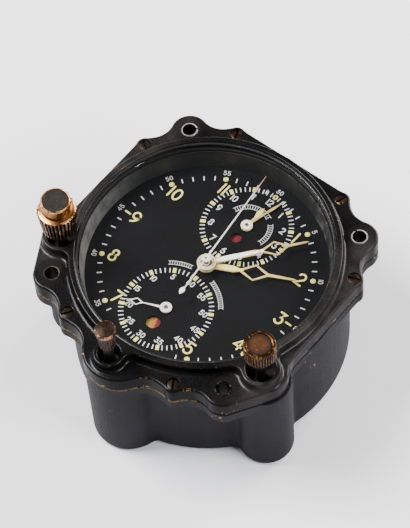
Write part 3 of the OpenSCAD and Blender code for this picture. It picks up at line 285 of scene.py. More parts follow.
def slab(name, outlines, low, high, round_low=0.0, round_high=0.0, steps=4, round_holes=math.inf):
    """A closed plate between two levels, its edges rounded in quarter circles, its holes' by less."""
    bm = bmesh.new()
    first_edges, last_edges = [], []
    for number, outline in enumerate(outlines):
        most = round_holes if number else math.inf
        levels = [(inset, low + lift) for inset, lift in quarter(min(round_low, most), steps)]
        levels += [(inset, high - lift) for inset, lift in reversed(quarter(min(round_high, most), steps))]
        rings = [[bm.verts.new((x, y, z)) for x, y in drawn_in(outline, inset)] for inset, z in levels]
        count = len(outline)
        for lower, upper in zip(rings, rings[1:]):
            for i in range(count):
                j = (i + 1) % count
                bm.faces.new((lower[i], lower[j], upper[j], upper[i]))
        first_edges += [bm.edges.get((rings[0][i], rings[0][i - 1])) for i in range(count)]
        last_edges += [bm.edges.get((rings[-1][i], rings[-1][i - 1])) for i in range(count)]
    for edges in (first_edges, last_edges):
        bmesh.ops.triangle_fill(bm, use_beauty=True, use_dissolve=False, edges=edges)
    return new_piece(name, bm)


def flared(name, outline, levels):
    """A closed plate whose outline is drawn in by its own distance at each level."""
    bm = bmesh.new()
    rings = [[bm.verts.new((x, y, z)) for x, y in drawn_in(outline, inset)] for inset, z in levels]
    count = len(outline)
    for lower, upper in zip(rings, rings[1:]):
        for i in range(count):
            j = (i + 1) % count
            bm.faces.new((lower[i], lower[j], upper[j], upper[i]))
    for ring in (rings[0], rings[-1]):
        edges = [bm.edges.get((ring[i], ring[i - 1])) for i in range(count)]
        bmesh.ops.triangle_fill(bm, use_beauty=True, use_dissolve=False, edges=edges)
    return new_piece(name, bm)


print("plates can be rounded or flared")

# %% Turned pieces, joined and cut pieces
def turned_piece(name, profile, centre=(0, 0), count=96, closed=True):
    """A lathe-turned piece: (radius, height) points swept round an upright axis at centre."""
    bm = bmesh.new()
    rings = []
    for radius, z in profile:
        if radius == 0:
            rings.append([bm.verts.new((centre[0], centre[1], z))])
        else:
            turns = [2 * math.pi * i / count for i in range(count)]
            rings.append([
                bm.verts.new((centre[0] + radius * math.cos(t), centre[1] + radius * math.sin(t), z))
                for t in turns
            ])
    pairs = list(zip(rings, rings[1:]))
    if closed:
        pairs.append((rings[-1], rings[0]))
    for one, two in pairs:
        for i in range(count):
            j = (i + 1) % count
            corners = [one[i % len(one)], one[j % len(one)], two[j % len(two)], two[i % len(two)]]
            corners = list(dict.fromkeys(corners))
            if len(corners) > 2:
                bm.faces.new(corners)
    return new_piece(name, bm)


def bake(piece):
    """Replaces a piece's mesh by what its modifiers make of it, and clears them."""
    bpy.context.view_layer.update()
    ready = piece.evaluated_get(bpy.context.evaluated_depsgraph_get())
    mesh = bpy.data.meshes.new_from_object(ready)
    piece.modifiers.clear()
    piece.data = mesh
    return piece


def combine(piece, tool, operation):
    """Adds a tool piece to another or cuts it away, and removes the tool."""
    modifier = piece.modifiers.new("combine", "BOOLEAN")
    modifier.solver = "MANIFOLD"
    modifier.operation = operation
    modifier.object = tool
    bake(piece)
    bpy.data.objects.remove(tool)
    return piece


print("lathe and joinery ready")

# %% [markdown]
# ## Worn edges
# Paint wears off where hands and tools rub, which is on outer edges. Each finished mesh gets a number
# at every vertex, called edge, that is 1 where the surface bends outwards within a short distance and 0
# on flats and in hollows. The paints mix it with noise to bare the metal in broken lines.

# %% Smooth shading and the edge attribute
SHARP_ABOVE = math.radians(38)
BENDS_ABOVE, BENDS_BELOW = math.radians(11), 1.2


def finish_surface(piece, sharp=SHARP_ABOVE):
    """Smooth shading that keeps real corners, weighted to the flats, and the edge attribute."""
    mesh = piece.data
    bm = bmesh.new()
    bm.from_mesh(mesh)
    worn = [0.0] * len(bm.verts)
    for edge in bm.edges:
        if len(edge.link_faces) == 2 and BENDS_ABOVE < edge.calc_face_angle_signed(0) < BENDS_BELOW:
            for vertex in edge.verts:
                worn[vertex.index] = 1.0
    bm.free()
    attribute = mesh.attributes.new("edge", "FLOAT", "POINT")
    attribute.data.foreach_set("value", worn)
    mesh.shade_smooth()
    mesh.set_sharp_from_angle(angle=sharp)
    weighted = piece.modifiers.new("weighted", "WEIGHTED_NORMAL")
    weighted.keep_sharp = True
    bake(piece)
    print(piece.name, "has", len(piece.data.vertices), "points")
    return piece


def place(piece, body, slot_name, material, *replaced):
    """Gives a finished piece its material and body, and hides the CAD nodes that it stands for. slot_name is
    not used.
    """
    piece.data.materials.clear()
    piece.data.materials.append(material)
    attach(piece, body)
    if replaced:
        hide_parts(*replaced)
    return piece

# %% [markdown]
# ## Things that repeat
# A knob has some thirty ribs, a dial sixty ticks, the case six screws: one copy is modelled and Geometry
# Nodes lay out the rest. The first tree makes a ring of equal copies from a count and a radius. The
# second puts a copy on every point of a mesh and turns it by that point's own angle. Both end by
# making the copies real and giving them a material, because an exported model can't hold instances.

# %% Start and end of a tree
def new_tree(name, sockets):
    """An empty Geometry Nodes tree with named inputs: (label, socket type, default value)."""
    tree = bpy.data.node_groups.new(name, "GeometryNodeTree")
    tree.interface.new_socket("Geometry", in_out="INPUT", socket_type="NodeSocketGeometry")
    for label, kind, value in sockets:
        socket = tree.interface.new_socket(label, in_out="INPUT", socket_type=kind)
        if value is not None:
            socket.default_value = value
    tree.interface.new_socket("Geometry", in_out="OUTPUT", socket_type="NodeSocketGeometry")
    return tree, tree.nodes.new("NodeGroupInput").outputs


def close_tree(tree, copies, material_socket):
    """Ends a tree: real geometry, then its material."""
    real = add(tree, "GeometryNodeRealizeInstances", {"Geometry": copies})
    painted = add(tree, "GeometryNodeSetMaterial", {"Geometry": real.outputs[0], "Material": material_socket})
    tree.links.new(painted.outputs[0], tree.nodes.new("NodeGroupOutput").inputs[0])


print("trees end in real geometry")

# %% A ring of equal copies
ring_tree, ring_in = new_tree("ring_of_copies", [
    ("Piece", "NodeSocketObject", None), ("Count", "NodeSocketInt", 12), ("Radius", "NodeSocketFloat", 0.01),
    ("First angle", "NodeSocketFloat", 0.0), ("Centre", "NodeSocketVector", None),
    ("Unevenness", "NodeSocketFloat", 0.0), ("Seed", "NodeSocketInt", 1),
    ("Material", "NodeSocketMaterial", None)])
ring_points = add(ring_tree, "GeometryNodeMeshCircle", {
    "Vertices": ring_in["Count"], "Radius": ring_in["Radius"]})
ring_index = add(ring_tree, "GeometryNodeInputIndex").outputs[0]
share_of_turn = add(ring_tree, "ShaderNodeMath", [ring_index, ring_in["Count"]], operation="DIVIDE")
ring_turn = add(ring_tree, "ShaderNodeMath", [share_of_turn.outputs[0], math.tau], operation="MULTIPLY")
ring_facing = add(ring_tree, "ShaderNodeCombineXYZ", {"Z": ring_turn.outputs[0]})
low_size = add(ring_tree, "ShaderNodeMath", [1.0, ring_in["Unevenness"]], operation="SUBTRACT")
size = add(ring_tree, "FunctionNodeRandomValue", {2: low_size.outputs[0], 3: 1.0, "Seed": ring_in["Seed"]})
ring_source = add(ring_tree, "GeometryNodeObjectInfo", {"Object": ring_in["Piece"]})
ring_copies = add(ring_tree, "GeometryNodeInstanceOnPoints", {
    "Points": ring_points.outputs[0], "Instance": ring_source.outputs["Geometry"],
    "Rotation": ring_facing.outputs[0], "Scale": size.outputs[1]})
ring_start = add(ring_tree, "ShaderNodeCombineXYZ", {"Z": ring_in["First angle"]})
ring_placed = add(ring_tree, "GeometryNodeTransform", {
    "Geometry": ring_copies.outputs[0], "Translation": ring_in["Centre"], "Rotation": ring_start.outputs[0]})
close_tree(ring_tree, ring_placed.outputs[0], ring_in["Material"])
print(ring_tree.name, "has", len(ring_tree.nodes), "nodes")

# %% Copies on points
spot_tree, spot_in = new_tree("copies_on_points", [
    ("Piece", "NodeSocketObject", None), ("Material", "NodeSocketMaterial", None)])
spot_angle = add(spot_tree, "GeometryNodeInputNamedAttribute", {"Name": "turn"}, data_type="FLOAT")
spot_facing = add(spot_tree, "ShaderNodeCombineXYZ", {"Z": spot_angle.outputs[0]})
spot_source = add(spot_tree, "GeometryNodeObjectInfo", {"Object": spot_in["Piece"]})
spot_copies = add(spot_tree, "GeometryNodeInstanceOnPoints", {
    "Points": spot_in["Geometry"], "Instance": spot_source.outputs["Geometry"],
    "Rotation": spot_facing.outputs[0]})
close_tree(spot_tree, spot_copies.outputs[0], spot_in["Material"])
print(spot_tree.name, "has", len(spot_tree.nodes), "nodes")

# %% A tree run on a new piece
def grown(name, mesh, tree, values):
    """Runs a tree on a new object and keeps the result as a plain mesh. The source piece is removed."""
    made = bpy.data.objects.new(name, mesh)
    bpy.context.scene.collection.objects.link(made)
    modifier = made.modifiers.new(tree.name, "NODES")
    modifier.node_group = tree
    for item in tree.interface.items_tree:
        if item.in_out == "INPUT" and item.name in values:
            modifier[item.identifier] = values[item.name]
    bake(made)
    bpy.data.objects.remove(values["Piece"])
    return made


def ring_of(name, piece, material, count, radius, first_angle=0.0, centre=(0, 0, 0), unevenness=0.0, seed=1):
    """Copies of a piece, each turned to face outwards, on a circle."""
    return grown(name, bpy.data.meshes.new(name), ring_tree, {
        "Piece": piece, "Count": count, "Radius": radius, "First angle": first_angle, "Centre": centre,
        "Unevenness": unevenness, "Seed": seed, "Material": material})


def copies_at(name, piece, material, spots):
    """Copies of a piece at spots, a list of (x, y, z, turn in radians)."""
    mesh = bpy.data.meshes.new(name)
    mesh.from_pydata([spot[:3] for spot in spots], [], [])
    mesh.attributes.new("turn", "FLOAT", "POINT").data.foreach_set("value", [spot[3] for spot in spots])
    return grown(name, mesh, spot_tree, {"Piece": piece, "Material": material})


print("copies are baked to plain meshes")

# %% [markdown]
# ## Finishes
# Every finish is a recipe of the same kind, because real surfaces are: a colour that drifts a little,
# a finer grain in its gloss, a slight unevenness that bends reflections, and, on painted edges, the
# metal below. One function lays those layers, and each material is a call with its own real numbers.
# Sizes of patterns are millimetres on the object. Grain too fine for the picture is drawn coarser.
# A Map Range node takes its value, the range it comes from and the range it goes to, in that order.

# %% Patterns in real sizes
PER_METRE = 1000
COLOUR_MIX = {"data_type": "RGBA"}


def distance_from_axis(tree, centre=(0, 0)):
    """How far a point of the object is from the upright axis at centre, in metres."""
    spot = add(tree, "ShaderNodeTexCoord").outputs["Object"]
    offset = add(tree, "ShaderNodeVectorMath", [spot, (*centre, 0)], operation="SUBTRACT")
    level = add(tree, "ShaderNodeVectorMath", [offset.outputs[0], (1, 1, 0)], operation="MULTIPLY")
    return add(tree, "ShaderNodeVectorMath", [level.outputs[0]], operation="LENGTH").outputs["Value"]


def patches(tree, spot, size_mm, detail, *limits):
    """Blotches about size_mm across: a noise, kept between limits where these are given."""
    cloud = add(tree, "ShaderNodeTexNoise", {"Vector": spot, "Scale": PER_METRE / size_mm, "Detail": detail})
    if not limits:
        return cloud.outputs["Fac"]
    return add(tree, "ShaderNodeMapRange", [cloud.outputs["Fac"], *limits]).outputs[0]


def tinted(material, share, code):
    """Lays one more colour over a material's base colour where share is 1."""
    tree = material.node_tree
    base_colour = tree.nodes["Principled BSDF"].inputs["Base Color"]
    below = base_colour.links[0].from_socket
    laid = add(tree, "ShaderNodeMix", {0: share, 6: below, 7: colour(code)}, **COLOUR_MIX)
    tree.links.new(laid.outputs[2], base_colour)


print("patterns are sized by", PER_METRE, "millimetres to the metre")

# %% The layered surface
DRIFT_LIMITS = (0.35, 0.65)
GRAIN_LIMITS = (0.3, 0.7)
SPECK_FROM, SPECK_SOFTNESS = 0.5, 0.06
WEAR_FROM, WEAR_SOFTNESS, WEAR_PER_SHARE = 1.22, 0.08, 0.4
BROAD_WEAR = 6
BARE_METALLIC = 0.9


def worn_away(tree, spot, worn_mm, worn_share):
    """Where paint is gone: in torn patches on edges of 1, and nearly everywhere on edges of 2."""
    edge = add(tree, "ShaderNodeAttribute", attribute_name="edge").outputs["Fac"]
    small = patches(tree, spot, worn_mm, 5.0)
    broad = patches(tree, spot, worn_mm * BROAD_WEAR, 2.0)
    both = add(tree, "ShaderNodeMath", [small, broad], operation="ADD").outputs[0]
    start = WEAR_FROM - worn_share * WEAR_PER_SHARE
    torn = add(tree, "ShaderNodeMapRange", [both, start, start + WEAR_SOFTNESS]).outputs[0]
    torn_edge = add(tree, "ShaderNodeMath", [edge, torn], operation="MULTIPLY").outputs[0]
    bare = add(tree, "ShaderNodeMapRange", [torn_edge, 0.35, 0.6]).outputs[0]
    unbroken = add(tree, "ShaderNodeMapRange", [edge, 1.3, 1.7]).outputs[0]
    nearly_all = add(tree, "ShaderNodeMapRange", [small, 0.36, 0.46]).outputs[0]
    rubbed = add(tree, "ShaderNodeMath", [unbroken, nearly_all], operation="MULTIPLY").outputs[0]
    return add(tree, "ShaderNodeMath", [bare, rubbed], operation="MAXIMUM").outputs[0]


def surface(name, base, second, blotch_mm, rough, grain_mm, bump_mm, metallic=0.0, worn=None,
            worn_share=0.5, worn_mm=1.5, speck=None, speck_mm=0.5, speck_share=0.3, coat=0.0, **sockets):
    """A procedural finish: base and second colours, roughness range, bump, worn edges and specks."""
    material = bpy.data.materials.new(name)
    material.use_nodes = True
    tree = material.node_tree
    shader = tree.nodes["Principled BSDF"]
    spot = add(tree, "ShaderNodeTexCoord").outputs["Object"]
    drift = patches(tree, spot, blotch_mm, 4.0, *DRIFT_LIMITS)
    blend = add(tree, "ShaderNodeMix", {0: drift, 6: colour(base), 7: colour(second)}, **COLOUR_MIX)
    tree.links.new(blend.outputs[2], shader.inputs["Base Color"])
    grain = patches(tree, spot, grain_mm, 5.0)
    roughness = add(tree, "ShaderNodeMapRange", [grain, *GRAIN_LIMITS, *rough]).outputs[0]
    tree.links.new(roughness, shader.inputs["Roughness"])
    uneven = add(tree, "ShaderNodeBump", {"Height": grain, "Distance": bump_mm * MM, "Strength": 1.0})
    tree.links.new(uneven.outputs["Normal"], shader.inputs["Normal"])
    shader.inputs["Metallic"].default_value = metallic
    shader.inputs["Coat Weight"].default_value = coat
    if speck:
        start = SPECK_FROM + speck_share / 2
        tinted(material, patches(tree, spot, speck_mm, 2.0, start, start + SPECK_SOFTNESS), speck)
    if worn:
        bare = worn_away(tree, spot, worn_mm, worn_share)
        tinted(material, bare, worn)
        metal = add(tree, "ShaderNodeMapRange", [bare, 0.0, 1.0, metallic, BARE_METALLIC]).outputs[0]
        tree.links.new(metal, shader.inputs["Metallic"])
    for socket, value in sockets.items():
        shader.inputs[socket.replace("_", " ")].default_value = value
    return material


print("one recipe for all finishes")

# %% Paints of the case and the front
# Gloss black stoving enamel: nearly black, with soft highlights, worn to brassy primer on its edges.
stoved_black_enamel = surface("stoved_black_enamel", "#060607", "#0f0e0d", 8, (0.2, 0.34), 0.35, 0.007,
                              worn="#6e5534", worn_share=0.05, worn_mm=0.9, speck="#171412",
                              speck_mm=0.35, speck_share=0.42, Specular_IOR_Level=0.25)
# Satin black enamel on cast aluminium: the casting's grain shows as a fine speckle and dull gloss.
satin_case_enamel = surface("satin_case_enamel", "#0e0d10", "#171619", 12, (0.45, 0.62), 0.3, 0.03,
                            worn="#6e5c48", worn_share=0.0, worn_mm=1.2, speck="#2c2a2a",
                            speck_mm=0.3, speck_share=0.36, Specular_IOR_Level=0.07)
print("paints ready")

# %% Metals of the knobs
# Lacquered gilding metal, a coppery brass: warm, worn pale on its edges, brown where lacquer stays.
gilding_metal = surface("gilding_metal", "#6e4420", "#8c5c2c", 3, (0.22, 0.42), 0.25, 0.006, 1.0,
                        worn="#dca870", worn_share=0.75, worn_mm=0.8)
# The same metal under browned lacquer: dark amber, with a dull shine.
aged_gilding_metal = surface("aged_gilding_metal", "#28170a", "#3c230f", 2.5, (0.3, 0.5), 0.25, 0.008, 1.0,
                             worn="#6c482c", worn_share=0.4, worn_mm=0.8)
# Tarnished copper: nearly black in patches, pink where a finger rubs it.
red_copper = surface("red_copper", "#150c07", "#33200f", 1.1, (0.35, 0.6), 0.25, 0.012, 0.8,
                     worn="#9a7050", worn_share=0.5, worn_mm=0.7, speck="#0d0806",
                     speck_mm=0.7, speck_share=0.1)
print("metals of the knobs ready")

# %% Metals of the movement
# Ground steel: a soft grey shine.
dull_steel = surface("dull_steel", "#6f6f70", "#858585", 2, (0.28, 0.45), 0.2, 0.004, 1.0)
# Spring steel, tempered until its oxide film turns blue.
blued_spring_steel = surface("blued_spring_steel", "#2a3a5c", "#3a4a70", 2, (0.2, 0.3), 0.2, 0.003, 1.0)
# Cut and polished wheel brass: clear yellow.
gear_brass = surface("gear_brass", "#c2a050", "#d0b060", 2, (0.2, 0.35), 0.2, 0.003, 1.0)
print("metals of the movement ready")

# %% [markdown]
# ## Rear case
# The rear case is one aluminium casting: a drum that holds the movement, three bosses that stand under
# the knobs, and a thin flange that the panel screws pull on. Its lower edge was left round by the mould,
# so the drum's outline is raised as a plate with a wide radius below, joined to the flange, and hollowed.
# The flange's upper edge is rubbed bright at the near side: there the edge attribute is 2.

# %% Rear case
DRUM_LEVEL = 27.5 * MM
FLANGE_LEVEL = 34.0 * MM
FLANGE_UNDERSIDE = 32.0 * MM
JOIN_DEPTH = 0.5 * MM
CASE_FLOOR = 2 * MM
CASE_FOOT_ROUND = 1.8 * MM
FLANGE_ROUND = 0.45 * MM
case_low, case_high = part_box("rear_case")
drum_outer, drum_inner = section("rear_case", DRUM_LEVEL)[:2]
rear_case = slab("rear_case_casting", [drum_outer], case_low.z, FLANGE_UNDERSIDE + JOIN_DEPTH,
                 round_low=CASE_FOOT_ROUND, steps=8)
flange = slab("flange", section("rear_case", FLANGE_LEVEL), FLANGE_UNDERSIDE, case_high.z,
              round_low=FLANGE_ROUND, round_high=FLANGE_ROUND)
combine(rear_case, flange, "UNION")
cavity = slab("cavity", [drum_inner[::-1]], CASE_FLOOR, FLANGE_UNDERSIDE + 2 * JOIN_DEPTH)
combine(rear_case, cavity, "DIFFERENCE")
finish_surface(rear_case)

# %% The bright joint at the near side
JOINT_DEPTH = 0.3 * MM
JOINT_BRIGHT_BELOW_Y = 12 * MM
JOINT_BRIGHT_LEFT_OF_X = 26 * MM
RUBBED_BARE = 2.0
edge_values = rear_case.data.attributes["edge"].data
rubbed_points = [
    vertex.index for vertex in rear_case.data.vertices
    if vertex.co.z > case_high.z - JOINT_DEPTH
    and vertex.co.y < JOINT_BRIGHT_BELOW_Y and vertex.co.x < JOINT_BRIGHT_LEFT_OF_X]
for index in rubbed_points:
    edge_values[index].value = RUBBED_BARE
place(rear_case, "case", "case_paint", satin_case_enamel, "rear_case")
print(len(rubbed_points), "points rubbed bare along the joint")

# %% [markdown]
# ## Front frame
# The front frame is screwed on the case over a gasket. It has a flat shoulder with wells for the knobs
# and the screws, and a raised wall that runs round the glass and out round each well in one unbroken
# line. Three plates of one outline are stacked, because the holes change size on the way up, and
# the wall is joined on top. The shoulder's upper edge has a generous radius, the wall a small one.

# %% The stacked plates
BUSH_LEVEL = 38.5 * MM
WELL_FLOOR = 39.1 * MM
WELL_LEVEL = 39.6 * MM
LIP_UNDERSIDE = 40.1 * MM
SHOULDER_LEVEL = 40.8 * MM
SHOULDER = 41.5 * MM
FRAME_FOOT_ROUND = 0.3 * MM
SHOULDER_ROUND = 0.7 * MM
HOLE_ROUND = 0.14 * MM
frame_low, frame_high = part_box("front_frame")
shoulder_outlines = section("front_frame", SHOULDER_LEVEL)
frame_outline = shoulder_outlines[0]
front_frame = slab("front_frame_casting", [frame_outline, *section("front_frame", BUSH_LEVEL)[1:]],
                   frame_low.z, WELL_FLOOR, round_low=FRAME_FOOT_ROUND)
well_layer = slab("well_layer", [frame_outline, *section("front_frame", WELL_LEVEL)[1:]],
                  WELL_FLOOR, LIP_UNDERSIDE)
combine(front_frame, well_layer, "UNION")
shoulder = slab("shoulder", shoulder_outlines, LIP_UNDERSIDE, SHOULDER, round_high=SHOULDER_ROUND, steps=6,
                round_holes=HOLE_ROUND)
combine(front_frame, shoulder, "UNION")
print("shoulder from", len(frame_outline), "outline points")

# %% [markdown]
# ## The raised wall and its foot
# The wall doesn't stand on the shoulder at a sharp corner: the mould left a hollow curve at its foot,
# which draws the soft bright line beside the wall. The foot is a flared plate round the wall's own
# outline, cut off inside the shoulder's rounding and opened again over the knob wells.

# %% Wall and foot
WALL_LEVEL = 43.0 * MM
WALL_ROUND = 0.42 * MM
# How far the foot reaches out and stands up from the shoulder, in millimetres, from below to above.
FOOT = [(1.2, -0.5), (1.2, 0.0), (0.85, 0.07), (0.55, 0.2), (0.3, 0.42), (0.12, 0.75), (0.0, 1.1)]
wall_outlines = section("front_frame", WALL_LEVEL)
wall = slab("wall", wall_outlines, LIP_UNDERSIDE + JOIN_DEPTH, frame_high.z, round_high=WALL_ROUND, steps=5)
combine(front_frame, wall, "UNION")
foot = flared("foot", wall_outlines[0], [(-out * MM, SHOULDER + up * MM) for out, up in FOOT])
foot_limit = slab("foot_limit", [drawn_in(frame_outline, SHOULDER_ROUND / 2)], LIP_UNDERSIDE, WALL_LEVEL)
combine(foot, foot_limit, "INTERSECT")
for opening in wall_outlines[1:]:
    outline = opening[::-1] if signed_area(opening) < 0 else opening
    combine(foot, slab("well", [outline], LIP_UNDERSIDE, WALL_LEVEL), "DIFFERENCE")
combine(front_frame, foot, "UNION")
print("wall up to", round(frame_high.z / MM, 2), "mm")

# %% Seat of the glass and spot faces of the panel screws
GASKET_SEAT = 41.3 * MM
GLASS_BORE = 37.5 * MM
ABOVE_ALL = 50 * MM
SPOT_FACE_R, SPOT_FACE_DEPTH = 4.5 * MM, 0.1 * MM
SPOT_FACE_CLEAR = 1 * MM
MOUNT_REACH = 31.431 * MM
seat = turned_piece("seat", [(0, GASKET_SEAT), (GLASS_BORE, GASKET_SEAT), (GLASS_BORE, ABOVE_ALL),
                             (0, ABOVE_ALL)], count=240)
combine(front_frame, seat, "DIFFERENCE")
low, high = SHOULDER - SPOT_FACE_DEPTH, SHOULDER + SPOT_FACE_CLEAR
for x in (-1, 1):
    for y in (-1, 1):
        spot_face = turned_piece("spot_face", [(0, low), (SPOT_FACE_R, low), (SPOT_FACE_R, high), (0, high)],
                                 (x * MOUNT_REACH, y * MOUNT_REACH), closed=False)
        combine(front_frame, spot_face, "DIFFERENCE")
print(len(front_frame.data.polygons), "faces on the front frame")
finish_surface(front_frame)

# %% [markdown]
# ## Handled enamel, with a painted sheen
# Fingers and cleaning have dulled the enamel towards the left and right edges to a brown-grey haze, and
# its lighter colour is also a painted sheen that stands in for the soft light those edges mirror. Level
# faces are glossier than upright ones, where the lacquer ran off thin. Both follow the object itself: its
# own coordinates, and its own normals, so they stay put in every view.

# %% Gloss, and haze with a painted sheen, of the front frame
UPRIGHT_BELOW, LEVEL_ABOVE = 0.3, 0.7
DULL_SIDE_GLOSS, TOP_GLOSS = 0.02, 0.15
HAZE_AND_SHEEN_FROM, HAZE_AND_SHEEN_TO = 27 * MM, 38 * MM
SHADED_BELOW_Y, FULL_ABOVE_Y = -36 * MM, -28 * MM
# The haze colour is partly a painted sheen: lighter enamel where the side edges mirror soft light.
HAZE_AND_SHEEN = "#272523"
HAZE_BLOTCH_MM = 5
enamel_tree = stoved_black_enamel.node_tree
seen_at = add(enamel_tree, "ShaderNodeTexCoord").outputs
facing_up = add(enamel_tree, "ShaderNodeSeparateXYZ", [seen_at["Normal"]]).outputs["Z"]
gloss = add(enamel_tree, "ShaderNodeMapRange", [
    facing_up, UPRIGHT_BELOW, LEVEL_ABOVE, DULL_SIDE_GLOSS, TOP_GLOSS])
enamel_tree.links.new(gloss.outputs[0], enamel_tree.nodes["Principled BSDF"].inputs["Specular IOR Level"])
spot_parts = add(enamel_tree, "ShaderNodeSeparateXYZ", [seen_at["Object"]]).outputs
sideways = add(enamel_tree, "ShaderNodeMath", [spot_parts["X"]], operation="ABSOLUTE").outputs[0]
haze_and_sheen = add(enamel_tree, "ShaderNodeMapRange", [sideways, HAZE_AND_SHEEN_FROM, HAZE_AND_SHEEN_TO]).outputs[0]
unshaded = add(enamel_tree, "ShaderNodeMapRange", [spot_parts["Y"], SHADED_BELOW_Y, FULL_ABOVE_Y]).outputs[0]
cloudy = patches(enamel_tree, seen_at["Object"], HAZE_BLOTCH_MM, 4, 0.35, 0.6, 0.3, 1.0)
for share in (unshaded, cloudy):
    haze_and_sheen = add(enamel_tree, "ShaderNodeMath", [haze_and_sheen, share], operation="MULTIPLY").outputs[0]
tinted(stoved_black_enamel, haze_and_sheen, HAZE_AND_SHEEN)
place(front_frame, "case", "frame_lacquer", stoved_black_enamel, "front_frame")
print("haze from", HAZE_AND_SHEEN_FROM / MM, "to", HAZE_AND_SHEEN_TO / MM, "mm off the middle")

# %% [markdown]
# ## Dial print
# The dial is black with two inks: a dull white for tracks and small figures, and a cream luminous paint,
# yellowed with age, for the hours and the five-minute marks. Both stand a few hundredths of a
# millimetre above the dial. The whole dial is turned a little in the case, as the maker left it, so one
# function places everything by its position on the dial. Ticks and blocks are copies on points.

# %% Places on the dial
DIAL_TURN = math.radians(-1.74)
SMALL_DIAL_OFFSET = 18 * MM
UPPER = (0.0, SMALL_DIAL_OFFSET)
LOWER = (0.0, -SMALL_DIAL_OFFSET)
CENTRE = (0.0, 0.0)
PRINT_HEIGHT, LUME_HEIGHT = 0.05 * MM, 0.09 * MM
dial_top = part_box("dial")[1].z


def on_dial(x, y):
    """A point given on the upright dial, where the dial really sits."""
    c, s = math.cos(DIAL_TURN), math.sin(DIAL_TURN)
    return x * c - y * s, x * s + y * c


def clock_spot(centre, radius, clock_angle):
    """The dial point at a clockwise angle in degrees from 12, seen from a small dial's centre."""
    a = math.radians(clock_angle)
    return centre[0] + radius * math.sin(a), centre[1] + radius * math.cos(a)


def mark_spots(centre, radius, clock_angles):
    """Spots for marks that point away from the centre."""
    return [(*on_dial(*clock_spot(centre, radius, a)), dial_top, DIAL_TURN - math.radians(a))
            for a in clock_angles]


def bar(name, width, length, height=PRINT_HEIGHT):
    """A flat bar whose length lies along Y, with its middle at the origin."""
    w, l = width / 2, length / 2
    return slab(name, [np.array([(-w, -l), (w, -l), (w, l), (-w, l)])], 0, height)


def dot(name, radius, height=PRINT_HEIGHT):
    """A drop of paint, a little domed."""
    profile = [(0, 0), (radius, 0), (radius * 0.85, height * 0.7), (radius * 0.45, height), (0, height)]
    return turned_piece(name, profile, count=20, closed=False)


print("dial face at", round(dial_top / MM, 2), "mm")

# %% Inks
# Dull white screen ink: flat, slightly grey with age.
dial_white = surface("dial_white_ink", "#c0c0bd", "#d0d0cc", 3, (0.5, 0.7), 0.3, 0.01)
# Luminous paint: a thick, grainy cream that has yellowed.
dial_lume = surface("aged_luminous_paint", "#dccb62", "#e6da84", 2, (0.55, 0.75), 0.25, 0.03)
print("two inks mixed")

# %% Tracks of ticks, drops and blocks
MINUTES = range(60)
DEGREES_A_MINUTE, DEGREES_AN_HOUR = 6, 30
HIDDEN_BY_LOWER_DIAL = 3
TICK_RADIUS, DROP_RADIUS, QUARTER_RADIUS = 31.15 * MM, 31.1 * MM, 30.5 * MM
SMALL_TRACK_RADIUS = 13.05 * MM
track_minutes = [m for m in MINUTES if m % 5 and abs(m - 30) > HIDDEN_BY_LOWER_DIAL]
drop_hours = [h for h in range(12) if h not in (3, 6, 9)]
print_pieces = [
    copies_at("minute_ticks", bar("tick", 0.34 * MM, 1.5 * MM), dial_white,
              mark_spots(CENTRE, TICK_RADIUS, [DEGREES_A_MINUTE * m for m in track_minutes])),
    copies_at("five_minute_dots", dot("drop", 0.8 * MM, LUME_HEIGHT), dial_lume,
              mark_spots(CENTRE, DROP_RADIUS, [DEGREES_AN_HOUR * h for h in drop_hours])),
    copies_at("quarter_bars", bar("quarter", 0.55 * MM, 2.1 * MM, LUME_HEIGHT), dial_lume,
              mark_spots(CENTRE, QUARTER_RADIUS, [DEGREES_AN_HOUR * h for h in (3, 9)])),
]
for where, small_centre in (("upper", UPPER), ("lower", LOWER)):
    print_pieces.append(copies_at(
        where + "_ticks", bar("small_tick", 0.32 * MM, 1.5 * MM), dial_white,
        mark_spots(small_centre, SMALL_TRACK_RADIUS, [DEGREES_A_MINUTE * m for m in MINUTES if m % 5])))
    print_pieces.append(copies_at(
        where + "_blocks", bar("block", 1.0 * MM, 1.6 * MM, LUME_HEIGHT), dial_lume,
        mark_spots(small_centre, SMALL_TRACK_RADIUS, [DEGREES_A_MINUTE * m for m in MINUTES if m % 5 == 0])))
print(len(print_pieces), "kinds of marks printed")

# %% [markdown]
# ## Figures
# The figures are drawn with a pen of constant width, so a figure is a few strokes: straight runs and
# arcs in a box one unit high. A ribbon with round ends follows each stroke. Drawing them costs little,
# and a ready-made typeface would have the wrong ones, with flags and serifs that these never had.

# %% Strokes of the ten figures
ARC_STEP = 15


def arc(x, y, rx, ry, start, end):
    """Points along an ellipse from one angle to another, in degrees."""
    steps = max(2, round(abs(end - start) / ARC_STEP))
    angles = [math.radians(start + (end - start) * i / steps) for i in range(steps + 1)]
    return [(x + rx * math.cos(a), y + ry * math.sin(a)) for a in angles]


def half_turned(strokes, width):
    """Strokes turned by half a turn about the middle of their box, which makes 9 of 6."""
    return [[(width - x, 1 - y) for x, y in stroke] for stroke in strokes]


